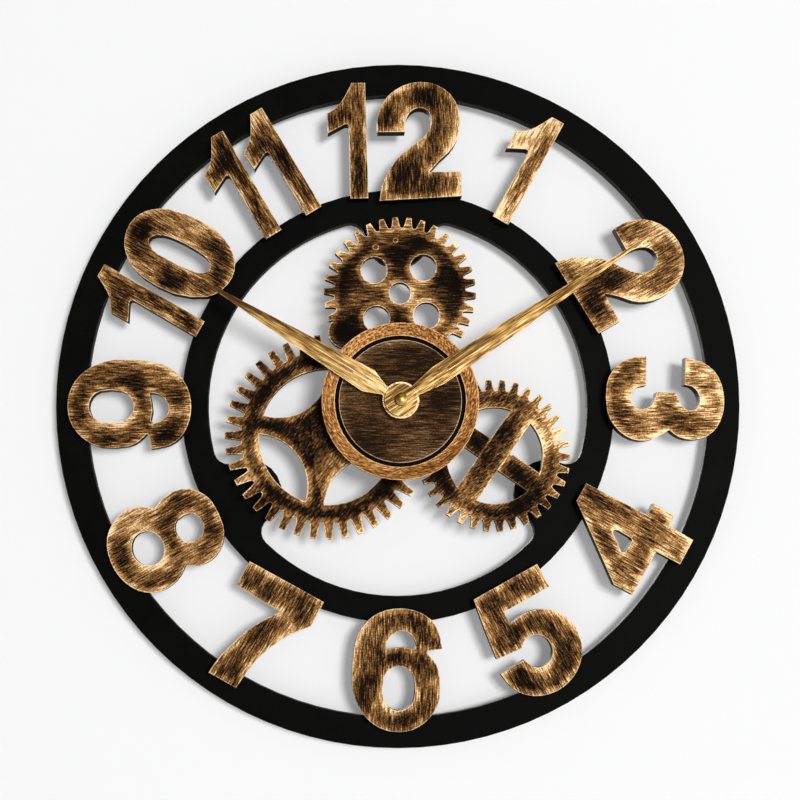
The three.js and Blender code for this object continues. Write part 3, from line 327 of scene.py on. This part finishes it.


# %% [markdown]
# ## Black satin paint
# The rings, posts and the hub's drum are satin black. One dark colour would do from afar, but such paint is
# not an even black: it has a faint cloudiness, a soft orange-peel surface and a little dust. On the rings a
# grey line is painted along the front's edge, as a painted highlight where the rounded edge catches the
# light. The sides and backs of the figures and plates are black too, with some bronze that the brush left
# there.

# %% Black paint
def black_paint(name, edge=0.0):
    """Satin black. Edge says how strong the grey line on the front's edge is, a painted highlight of the
    rounded edge.
    """
    paint = Finish(name, Specular_IOR_Level=0.02)
    place = solid_place(paint)
    clouds = noise(paint, place, 45, detail=4, roughness=0.65)
    peel = noise(paint, place, 700, detail=2)
    dust = spread(paint, noise(paint, place, 900, detail=3), 0.6, 0.75)
    colour = ramp(paint, clouds, [(0.3, shade(2, 2, 2)), (0.75, shade(10, 10, 8))])
    colour = blend(paint, dust * 0.08, colour, shade(60, 57, 50))
    # The grey line on the front's edge is a painted highlight where the rounded edge catches the light.
    colour = blend(paint, edge_wear_and_highlight(paint, place, 0.6, 0.7, 300) * edge, colour, shade(84, 80, 74))
    return paint.shows(Base_Color=colour, Roughness=0.5 + swing(clouds, 0.3),
                       Normal=bump(paint, peel, 0.00006))


# %% Sides and backs
def dark_side(name):
    """The cut sides and backs of the figures and plates: black, with a little bronze caught on them."""
    paint = Finish(name, Specular_IOR_Level=0.04)
    place = solid_place(paint)
    grain = noise(paint, place, 300, detail=5, roughness=0.7)
    caught = spread(paint, noise(paint, place, (120, 420, 120), detail=4), 0.55, 0.75)
    colour = ramp(paint, grain, [(0.3, shade(5, 4, 3)), (0.8, shade(24, 18, 12))])
    colour = blend(paint, caught * 0.3, colour, shade(88, 56, 30))
    return paint.shows(Base_Color=colour, Roughness=0.5 + grain * 0.2, Normal=bump(paint, grain, 0.0001))


# %% [markdown]
# ## Copies that can be dressed
# A flat solid from CAD is loose triangles with knife-sharp edges. A cut and painted board has small round
# edges that catch the light, and they make most of the look here. A Bevel modifier would round every edge,
# also the back's. So each such piece is copied, its corners are merged, its flat faces are made whole, and
# only its front edge is bevelled. The front is then cut into small cells, because a large flat face has
# corners at its rim alone, and the paint needs to know in between how far the edge is.

# %% A merged copy of a solid
def only(piece):
    """Makes a piece the one that the next operators act on."""
    bpy.ops.object.select_all(action="DESELECT")
    piece.select_set(True)
    bpy.context.view_layer.objects.active = piece


def copied(node):
    """A copy of a solid, merged and with whole flat faces."""
    piece = bpy.data.objects.new(node + "_dressed", nodes[node].data.copy())
    scene.collection.objects.link(piece)
    only(piece)
    bpy.ops.object.mode_set(mode="EDIT")
    bpy.ops.mesh.select_all(action="SELECT")
    bpy.ops.mesh.remove_doubles(threshold=0.000002)
    bpy.ops.mesh.dissolve_limited(angle_limit=math.radians(0.5))
    bpy.ops.object.mode_set(mode="OBJECT")
    return piece


# %% Find the front's edge
fold_depth = 0.002   # a side less deep than this is a fold in the face and not its rim


def faces_front(face):
    """True for a face of the front, flat or gently sloping."""
    return face.normal.y < -0.8


def side_below(edge):
    """The side face that drops from an edge of the front, or None."""
    if len(edge.link_faces) != 2:
        return None
    first, second = edge.link_faces
    if faces_front(first) == faces_front(second):
        return None
    side = second if faces_front(first) else first
    drops = side.calc_center_median().y > max(vertex.co.y for vertex in edge.verts)
    return side if drops else None


def deep_edge(edge):
    """True for an edge between the front and a side that is deeper than a fold."""
    side = side_below(edge)
    if side is None:
        return False
    heights = [vertex.co.y for vertex in side.verts]
    return max(heights) - min(heights) > fold_depth


def front_outline(piece):
    """The edges of the front as pairs of points in the clock's plane. A thin piece has no deep ones."""
    mesh = bmesh.new()
    mesh.from_mesh(piece.data)
    chosen = [edge for edge in mesh.edges if deep_edge(edge)]
    if not chosen:
        chosen = [edge for edge in mesh.edges if side_below(edge)]
    pairs = [[(end.co.x, end.co.z) for end in edge.verts] for edge in chosen]
    mesh.free()
    return np.array(pairs)


# %% Round the front's edge
def bevel_front(piece, width):
    """Rounds the edges between the front and its deep sides."""
    only(piece)
    bpy.ops.object.mode_set(mode="EDIT")
    bpy.ops.mesh.select_mode(type="EDGE")
    bpy.ops.mesh.select_all(action="DESELECT")
    mesh = bmesh.from_edit_mesh(piece.data)
    for edge in mesh.edges:
        edge.select_set(deep_edge(edge))
    bmesh.update_edit_mesh(piece.data)
    bpy.ops.mesh.bevel(offset=width, segments=2, profile=0.6, affect="EDGES", clamp_overlap=True)
    bpy.ops.object.mode_set(mode="OBJECT")


# %% Cut a piece into small cells
def cut_cells(piece, cell):
    """Cuts a piece along a square grid, so that its mesh can carry a value that varies over its face."""
    only(piece)
    bpy.ops.object.mode_set(mode="EDIT")
    for side, normal in ((0, (1, 0, 0)), (2, (0, 0, 1))):
        places = [corner[side] for corner in piece.bound_box]
        count = int((max(places) - min(places)) / cell)
        for step in range(count):
            point = [0, 0, 0]
            point[side] = min(places) + (step + 0.5) * cell
            bpy.ops.mesh.select_all(action="SELECT")
            bpy.ops.mesh.bisect(plane_co=point, plane_no=normal)
    bpy.ops.object.mode_set(mode="OBJECT")


# %% Values that the mesh carries
def flat_places(piece):
    """The corners of a piece in the clock's plane: right and up, in metres."""
    return np.array([(vertex.co.x, vertex.co.z) for vertex in piece.data.vertices])


def write_value(piece, name, values):
    """Gives every corner of a piece a value that its finish can read."""
    layer = piece.data.attributes.new(name, "FLOAT", "POINT")
    layer.data.foreach_set("value", values)


def distances(points, pairs):
    """The distance from each point to the nearest of the straight edges."""
    start = pairs[:, 0]
    run = pairs[:, 1] - start
    across = points[:, None, :] - start[None, :, :]
    share = np.clip((across * run).sum(2) / (run * run).sum(1), 0, 1)
    return np.linalg.norm(across - share[:, :, None] * run, axis=2).min(1)


def measure_edges(piece, pairs):
    """Writes how many millimetres each corner is from the front's outline, in eight parts to save memory."""
    parts = [distances(part, pairs) for part in np.array_split(flat_places(piece), 8)]
    write_value(piece, "from_edge", np.concatenate(parts) * 1000)


def slope_values(piece, level, right, up):
    """A value that is the level at the middle of a piece and changes by right and up per metre."""
    places = flat_places(piece)
    middle = (places.min(0) + places.max(0)) / 2
    return level + (places - middle) @ np.array([right, up])


# %% Dress a copy and hand it over
def paint_sides(piece, front, side):
    """The front and its rounded edge take one finish, and the sides and back another."""
    piece.data.materials.clear()
    piece.data.materials.append(front)
    piece.data.materials.append(side)
    for face in piece.data.polygons:
        face.material_index = 0 if face.normal.y < -0.2 else 1


def dressed(node, front, side, bevel, cell, cover=(0, 0, 0)):
    """A solid's copy with a rounded front edge, small cells and its values for the finish."""
    piece = copied(node)
    outline = front_outline(piece)
    bevel_front(piece, bevel)
    cut_cells(piece, cell)
    measure_edges(piece, outline)
    write_value(piece, "cover", slope_values(piece, *cover))
    paint_sides(piece, front, side)
    return piece


def finish_piece(piece, node, smooth=20):
    """Smooths a piece and puts it in the place of its solid."""
    only(piece)
    bpy.ops.object.shade_smooth_by_angle(angle=math.radians(smooth))
    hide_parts(node)
    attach(piece, body_of[node])


# %% [markdown]
# ## The rings
# Two flat rings of painted board carry everything. The inner one has three lobes that carry the toothed
# plates. A lathe or a curve with a depth would give a ring, but not its lobes, so the rings are copies of
# their solids too, with the widest bevel of all, because board that is routed and painted is round there.

# %% Rings
# The rings' black has a grey line on the front's edge: a painted highlight of the rounded edge.
ring_black = black_paint("ring_black", edge=0.35)
for node in ("outer_ring", "inner_ring"):
    piece = dressed(node, ring_black, ring_black, bevel=0.0006, cell=0.004)
    finish_piece(piece, node)
    print(node, len(piece.data.polygons), "faces")

# %% [markdown]
# ## The figures
# Each figure is brushed along its own upright. A material for each figure would do it, but a map of the
# piece in metres, turned with the figure, puts the strokes that way with one finish for all fifteen. A
# different shift for each figure keeps their patches apart. The painter's hand was not even, so each figure
# also has its own amount of bronze and may get more or less of it to one side.

# %% A map along the strokes
def map_strokes(piece, turn, shift):
    """Writes the piece's own map: across and along strokes that lean clockwise by turn degrees."""
    along = Vector((math.sin(math.radians(turn)), 0, math.cos(math.radians(turn))))
    across = Vector((along.z, 0, -along.x))
    layer = piece.data.uv_layers.new(name="strokes")
    for loop in piece.data.loops:
        point = piece.data.vertices[loop.vertex_index].co
        layer.data[loop.index].uv = (point.dot(across) + shift, point.dot(along) + shift)


# %% Figures
figure_shift = 0.37   # metres on the map, more than a figure's height
figure_looks = {   # turn of the strokes, then the bronze: its level, and its change to the right and up
    "numeral_12_one": (-1, (-0.01, 0, 0)),
    "numeral_12_two": (-1, (0.09, 1.2, -1.8)),
    "numeral_1": (29, (0.2, 0, 0)),
    "numeral_2": (61, (0.1, 2.3, 0)),
    "numeral_3": (91, (0.18, -1.0, -1.5)),
    "numeral_4": (120, (0.14, 2.8, 0.3)),
    "numeral_5": (151, (0.08, 0.6, 0)),
    "numeral_6": (181, (-0.01, -1.4, 1.2)),
    "numeral_7": (210, (0.07, -1.8, 2.5)),
    "numeral_8": (241, (0.1, -4.0, 0.9)),
    "numeral_9": (270, (0.03, -0.2, 0.2)),
    "numeral_10_one": (300, (-0.01, 0.4, -1.3)),
    "numeral_10_zero": (301, (0.02, -0.7, -1.4)),
    "numeral_11_first": (330, (0.01, 2.9, 2.9)),
    "numeral_11_second": (329, (-0.05, -3.1, -2.3)),
}
figure_bronze = bronze_paint("figure_bronze", hair=(1400, 120, 1), stroke=(600, 55, 1), patch=(50, 30, 1),
                             cover=0.34, gather=0.24)
figure_side = dark_side("figure_side")
for order, (node, (turn, cover)) in enumerate(figure_looks.items()):
    piece = dressed(node, figure_bronze, figure_side, bevel=0.0005, cell=0.0025, cover=cover)
    map_strokes(piece, turn, figure_shift * order)
    finish_piece(piece, node)
print(len(figure_looks), "figures, the last with", len(piece.data.polygons), "faces")

# %% [markdown]
# ## The toothed plates
# Behind the hub stand three toothed plates. Their webs are darker than their teeth: the brush caught the
# teeth and the rims of the openings, and left the web in the shade of its first, dark coat. The left plate's
# raised part beside its fold is lighter, and the top plate has two small round dents. The dents could
# be cut into the mesh, but they are scratches in paint, so a thin ring of bronze with its relief is enough.

# %% More bronze on a raised part
def favour_raised(piece, more):
    """Adds bronze where a piece's front stands highest."""
    heights = np.array([vertex.co.y for vertex in piece.data.vertices])
    layer = piece.data.attributes["cover"].data
    values = np.zeros(len(heights))
    layer.foreach_get("value", values)
    layer.foreach_set("value", values + np.where(heights < heights.min() + 0.0004, more, 0))


# %% Plates
plate_shift = 0.53   # metres on the map, more than a plate's width
top_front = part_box("top_gear_plate")[0][1]
plate_dents = {   # the middle and radius of each dent
    "top_gear_plate": [((-0.0152, top_front, 0.1015), 0.0018), ((-0.0023, top_front, 0.106), 0.0015)],
}
plate_looks = {   # turn of the strokes, bronze near the edges, level and change of the bronze, hair, stroke
    "top_gear_plate": (90, 0.3, (-0.03, 0, 0.9), (1300, 120, 1), (600, 55, 1)),
    "right_gear_plate": (55, 0.2, (0.0, 2.4, 0), (1200, 260, 1), (500, 100, 1)),
    "left_gear_plate": (40, 0.3, (-0.12, 0, 0), (1150, 230, 1), (500, 80, 1)),
}
plate_side = dark_side("plate_side")
for order, (node, (turn, gather, cover, hair, stroke)) in enumerate(plate_looks.items()):
    bronze = bronze_paint(node + "_bronze", hair, stroke, patch=(34, 24, 1), cover=0.28, gather=gather,
                          streaks=0.8, uneven=1.5, dents=plate_dents.get(node, ()))
    piece = dressed(node, bronze, plate_side, bevel=0.00035, cell=0.0025, cover=cover)
    if node == "left_gear_plate":
        favour_raised(piece, 0.16)
    map_strokes(piece, turn, plate_shift * order)
    finish_piece(piece, node)
    print(node, len(piece.data.polygons), "faces")

# %% [markdown]
# ## The hub
# A copper-coloured rim, a black groove and a dark disc. The disc is brushed level and the rim all the way
# round. A pattern that turns round a point could be worked out in the nodes, but it breaks where the turn
# starts again. The rim's own map, which runs outwards and round its middle, has no such break inside a face.

# %% A map round the middle
def map_round(piece):
    """Writes the piece's own map: outwards and round the clock's middle, in metres."""
    layer = piece.data.uv_layers.new(name="strokes")
    for face in piece.data.polygons:
        middle = math.atan2(face.center.x, face.center.z)
        for loop in face.loop_indices:
            point = piece.data.vertices[piece.data.loops[loop].vertex_index].co
            turn = math.atan2(point.x, point.z)
            turn += math.tau * round((middle - turn) / math.tau)
            outwards = math.hypot(point.x, point.z)
            layer.data[loop].uv = (outwards, turn * outwards)


# %% Hub
hub_copper = bronze_paint("hub_copper", hair=(950, 480, 1), stroke=(420, 150, 1), patch=(60, 14, 1),
                          cover=0.52, gather=0.05, line=0.5, streaks=1.15, uneven=0.7, stops=copper_stops)
hub_dark = bronze_paint("hub_dark", hair=(1200, 100, 1), stroke=(500, 30, 1), patch=(50, 20, 1),
                        cover=0.24, gather=0.12, line=0.8, uneven=0.9, stops=dark_stops)
hub_side = dark_side("hub_side")
hub_rim = dressed("hub_rim", hub_copper, hub_side, bevel=0.0005, cell=0.002, cover=(0, 0.7, 0.3))
map_round(hub_rim)
finish_piece(hub_rim, "hub_rim")
hub_face = dressed("hub_face", hub_dark, hub_side, bevel=0.0005, cell=0.002, cover=(0, -1.4, 1.2))
map_strokes(hub_face, 90, 0.11)
finish_piece(hub_face, "hub_face")
print("hub rim", len(hub_rim.data.polygons), "faces, hub disc", len(hub_face.data.polygons))

# %% [markdown]
# ## The hands
# The hands are gilt blades with a ridge along the middle, rubbed with a dark wash that stays in fine
# scratches along the blade. A plain gold metal would mirror the white room and lose the scratches, so the
# gilt is mostly colour, with a little metal in it. The upper half of each blade is painted darker, as painted
# shade, and the lower half lighter, as a painted sheen, where the ridge's two facets catch the light
# differently.

# %% Gilt
gilt_stops = [
    (0.0, shade(60, 38, 14)),
    (0.25, shade(100, 70, 31)),
    (0.45, shade(144, 106, 54)),
    (0.62, shade(184, 144, 82)),
    (0.8, shade(212, 176, 114)),
    (1.0, shade(236, 208, 158)),
]


def gilt(name):
    """Worn gilt with fine scratches along the strokes."""
    metal = Finish(name, Metallic=0.25, Specular_IOR_Level=0.08)
    place = stroke_place(metal)
    scratches = noise(metal, place, (1000, 60, 1), detail=2, roughness=0.6)
    wash = noise(metal, place, (420, 26, 1), detail=3, roughness=0.6)
    edge = edge_wear_and_highlight(metal, solid_place(metal), 0.6, 0.6, 300)
    lines = spread(metal, noise(metal, place, (1300, 65, 1), detail=3, roughness=0.65), 0.55, 0.66)
    amount = carried(metal, "cover") + swing(scratches, 1.8) + swing(wash, 1.1) + edge * 0.15 - lines * 0.6
    return metal.shows(Base_Color=ramp(metal, amount, gilt_stops), Roughness=0.5 - amount * 0.15,
                       Normal=bump(metal, amount, 0.00008))


# %% The wash on a blade
def shade_and_sheen_blade(piece, turn, upper, lower):
    """Gives the upper and lower half of a blade their amounts of gilt, each at the hub and at the tip:
    painted shade on the upper facet and a painted sheen on the lower.
    """
    ridge_width = 0.006
    along = np.array([math.sin(math.radians(turn)), math.cos(math.radians(turn))])
    across = np.array([-abs(along[1]) * np.sign(along[0]), abs(along[0])])
    places = flat_places(piece)
    outwards = np.clip(places @ along / (places @ along).max(), 0, 1)
    share = np.clip(0.5 + places @ across / ridge_width, 0, 1)
    ends = np.array([lower, upper])
    halves = ends[:, 0:1] + (ends[:, 1:2] - ends[:, 0:1]) * outwards
    piece.data.attributes["cover"].data.foreach_set("value", halves[0] * (1 - share) + halves[1] * share)


# %% Hands
hand_gilt = gilt("hand_gilt")
# The gilt on the two halves is painted shade on the upper facet and a painted sheen on the lower.
hand_looks = {   # turn of the blade, then the gilt on its upper and lower half, at the hub and at the tip
    "hour_hand": (301, (0.98, -0.28), (0.82, 0.42)),
    "minute_hand": (56.7, (0.38, 0.45), (0.62, 0.36)),
}
for node, (turn, upper, lower) in hand_looks.items():
    piece = dressed(node, hand_gilt, hand_gilt, bevel=0.00015, cell=0.003)
    # Painted shade on the upper half of the blade and a painted sheen on its lower half.
    shade_and_sheen_blade(piece, turn, upper, lower)
    map_strokes(piece, turn, 0.2)
    finish_piece(piece, node, smooth=8)
    print(node, len(piece.data.polygons), "faces")

# %% [markdown]
# ## The cap nut
# A small domed nut of polished brass holds the hands. Half a sphere would be too steep at its foot. A short
# drum is added at the place of its solid, and its front is drawn out and narrowed step by step along a
# quarter of an ellipse, as a turned dome is. Its upper left is painted darker, as painted shade, and its
# lower right lighter, as a painted reflection.

# %% Polished brass
def brass_with_painted_light(name):
    """Brass with stains, painted darker on one side as painted shade and lighter on the other as a painted
    reflection.
    """
    metal = Finish(name, Metallic=1, Specular_IOR_Level=0.3)
    stain = noise(metal, solid_place(metal), 500, detail=3)
    amount = carried(metal, "cover") + swing(stain, 0.9)
    stops = [(0.2, shade(70, 50, 18)), (0.5, shade(156, 120, 48)), (0.8, shade(238, 214, 138))]
    return metal.shows(Base_Color=ramp(metal, amount, stops), Roughness=0.3 - amount * 0.1)


# %% Draw a front out
def narrow_front(piece, front, rise, share, centre):
    """Draws the front face of a piece out by a rise and narrows it to a share of its width."""
    bpy.ops.object.mode_set(mode="EDIT")
    bpy.ops.mesh.select_mode(type="FACE")
    bpy.ops.mesh.select_all(action="DESELECT")
    mesh = bmesh.from_edit_mesh(piece.data)
    for face in mesh.faces:
        face.select_set(abs(face.calc_center_median().y - front) < 1e-6 and face.normal.y < -0.9)
    bmesh.update_edit_mesh(piece.data)
    bpy.ops.mesh.extrude_region_move(TRANSFORM_OT_translate={"value": (0, -rise, 0)})
    bpy.ops.transform.resize(value=(share, 1, share), center_override=(centre.x, front - rise, centre.z))
    bpy.ops.object.mode_set(mode="OBJECT")
    return front - rise


# %% Cap nut
nut_low, nut_high = (Vector(corner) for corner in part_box("cap_nut"))
nut_radius = (nut_high.x - nut_low.x) / 2
nut_centre = (nut_low + nut_high) / 2
skirt = 0.0014
dome = nut_high.y - nut_low.y - skirt
skirt_place = (nut_centre.x, nut_high.y - skirt / 2, nut_centre.z)
bpy.ops.object.select_all(action="DESELECT")
bpy.ops.mesh.primitive_cylinder_add(vertices=64, radius=nut_radius * 0.99, depth=skirt, location=skirt_place,
                                    rotation=(math.radians(90), 0, 0))
nut = bpy.context.active_object
nut.name = "cap_nut_dressed"
bpy.ops.object.transform_apply(location=True, rotation=True, scale=True)
front, steps, width = nut_high.y - skirt, 10, 1.0
for step in range(1, steps):
    angle = math.radians(90 * step / steps)
    rise = dome * (math.sin(angle) - math.sin(angle - math.radians(90 / steps)))
    front = narrow_front(nut, front, rise, math.cos(angle) / width, nut_centre)
    width = math.cos(angle)
# Painted shade on the dome's upper left and a painted reflection on its lower right.
write_value(nut, "cover", slope_values(nut, 0.5, 70, -70))
nut.data.materials.append(brass_with_painted_light("cap_brass"))
finish_piece(nut, "cap_nut", smooth=40)
print("cap nut", len(nut.data.polygons), "faces, front at", round(front, 5))

# %% [markdown]
# ## Plain metals and plastics
# The bush, the nut behind the hands and the movement keep their solids, because a moulded case or a turned
# nut of this size has no edge that shows. They get finishes of their own: metal with a fine brushed grain
# and some stain, and moulded plastic with a fine grain, clouds and scuffs.

# %% Metal
def metal(name, colour, dark, grain=400):
    """Brushed metal with darker stains."""
    surface = Finish(name, Metallic=1)
    place = solid_place(surface)
    brushed = noise(surface, place, grain, detail=4, roughness=0.65)
    stain = noise(surface, place, 150, detail=3)
    tint = blend(surface, spread(surface, stain, 0.45, 0.8) * 0.6, colour, dark)
    return surface.shows(Base_Color=tint, Roughness=0.3 + swing(brushed, 0.3),
                         Normal=bump(surface, brushed, 0.00003))


# %% Plastic
def plastic(name, colour, worn, rough=0.45):
    """Moulded plastic or rubber with clouds and scuffs of a worn colour."""
    surface = Finish(name, Specular_IOR_Level=0.45)
    place = solid_place(surface)
    fine = noise(surface, place, 900, detail=2)
    clouds = noise(surface, place, 70, detail=4, roughness=0.6)
    scuffs = spread(surface, noise(surface, place, (160, 500, 900), detail=4), 0.6, 0.75)
    tint = blend(surface, spread(surface, clouds, 0.3, 0.8) * 0.5 + scuffs * 0.2, colour, worn)
    return surface.shows(Base_Color=tint, Roughness=rough + swing(clouds, 0.3),
                         Normal=bump(surface, fine, 0.00004))


# %% Finishes of the pieces that keep their solids
solid_finishes = {
    "black_paint": black_paint("post_black"),
    "brass": metal("brass", shade(214, 170, 88), shade(150, 108, 48)),
    "steel": metal("steel", shade(182, 182, 184), shade(120, 118, 116)),
    "copper_wire": metal("copper_wire", shade(176, 92, 52), shade(110, 52, 28), grain=(60, 60, 7000)),
    "black_plastic": plastic("black_plastic", shade(26, 26, 27), shade(48, 47, 46)),
    "white_plastic": plastic("white_plastic", shade(226, 223, 214), shade(198, 192, 178)),
    "rubber": plastic("rubber", shade(28, 28, 28), shade(50, 49, 47), rough=0.75),
    "board_green": plastic("board_green", shade(34, 84, 52), shade(24, 60, 40), rough=0.35),
    "battery_sleeve": plastic("battery_sleeve", shade(120, 122, 126), shade(90, 90, 92), rough=0.3),
}
left_as_solids = [node for node in nodes if not nodes[node].hide_render]
for node in left_as_solids:
    for slot in nodes[node].material_slots:
        slot.material = solid_finishes[slot_of[node]]
print(len(left_as_solids), "solids keep their mesh")

# %% [markdown]
# ## Wall and floor
# The clock hangs on a white wall and throws a soft shadow to the lower left. More light would make the wall
# whiter and bleach the clock with it, so a small share of the wall glows by itself, and only where it is
# looked at. The wall is a backdrop: it shows from the front alone and stops no light, so that the clock's
# back can be looked at too.

# %% Planes for the stage
def looked_at(net):
    """1 on a ray that shows the spot to the viewer, also in a mirror or through glass, and 0 on others."""
    straight, mirrored, through = (net.node("ShaderNodeLightPath", output=ray) for ray in
                                   ("Is Camera Ray", "Is Glossy Ray", "Is Transmission Ray"))
    return straight.maths("MAXIMUM", straight.maths("MAXIMUM", straight, mirrored), through)


def stage_plane(name, size, place, turn, material):
    """A flat plane that is not part of the clock."""
    bpy.ops.object.select_all(action="DESELECT")
    bpy.ops.mesh.primitive_plane_add(size=size, location=place, rotation=turn)
    plane = bpy.context.active_object
    plane.name = name
    plane.data.materials.append(material)
    return plane


# %% Wall and floor
wall_glow = 0.2
wall_white = Finish("wall_white", Roughness=0.9, Specular_IOR_Level=0.1, Base_Color=shade(252, 252, 252))
behind = wall_white.node("ShaderNodeNewGeometry", output="Backfacing")
clear = wall_white.node("ShaderNodeBsdfTransparent")
glow = wall_white.node("ShaderNodeEmission", values={"Color": shade(252, 252, 253), "Strength": 1})
lit = Value(wall_white, wall_white.shader.outputs[0])
shown = wall_white.node("ShaderNodeMixShader", values={0: looked_at(wall_white) * wall_glow, 1: lit, 2: glow})
both = wall_white.node("ShaderNodeMixShader", values={0: behind, 1: shown, 2: clear})
wall_white.feed(wall_white.tree.nodes["Material Output"].inputs["Surface"], both)
wall = stage_plane("wall", 12, (0, 0.0006, 4.6), (math.radians(90), 0, 0), wall_white.material)
wall.visible_diffuse = False
wall.visible_shadow = False
floor_pale = Finish("floor_pale", Roughness=0.9, Specular_IOR_Level=0.1, Base_Color=shade(236, 236, 236))
floor = stage_plane("floor", 6, (0, -2.9, -1.4), (0, 0, 0), floor_pale.material)
print("wall", wall.dimensions[:], "floor", floor.dimensions[:])

# %% [markdown]
# ## Light
# One large soft lamp stands far off to the right behind the viewer, so that the light hardly falls off
# from one side of the clock to the other. A pale sky fills the shadows, and a weaker lamp behind the wall
# lights the back. Where the sky is looked at, it is plain white.

# %% Lamps
def round_lamp(name, size, power, place):
    """A round soft lamp that faces the clock's middle."""
    lamp = bpy.data.lights.new(name, "AREA")
    lamp.shape = "DISK"
    lamp.size = size
    lamp.energy = power
    holder = bpy.data.objects.new(name, lamp)
    scene.collection.objects.link(holder)
    holder.location = place
    holder.rotation_euler = (-holder.location).to_track_quat("-Z", "Y").to_euler()
    return holder


key = round_lamp("key", 2.2, 366, (2.1, -7.0, 0.35))
back = round_lamp("back", 1.2, 100, (-0.7, 3.0, 1.0))
print("key", key.data.energy, "W, back", back.data.energy, "W")

# %% Sky
sky_light = 0.2
world = bpy.data.worlds.new("sky")
scene.world = world
world.use_nodes = True
sky = Net(world.node_tree)
background = world.node_tree.nodes["Background"]
sky.feed(background.inputs["Color"], (1, 1, 1, 1))
sky.feed(background.inputs["Strength"], sky_light + looked_at(sky) * (1 - sky_light))
print("sky", sky_light, "as light and 1 where it is looked at")
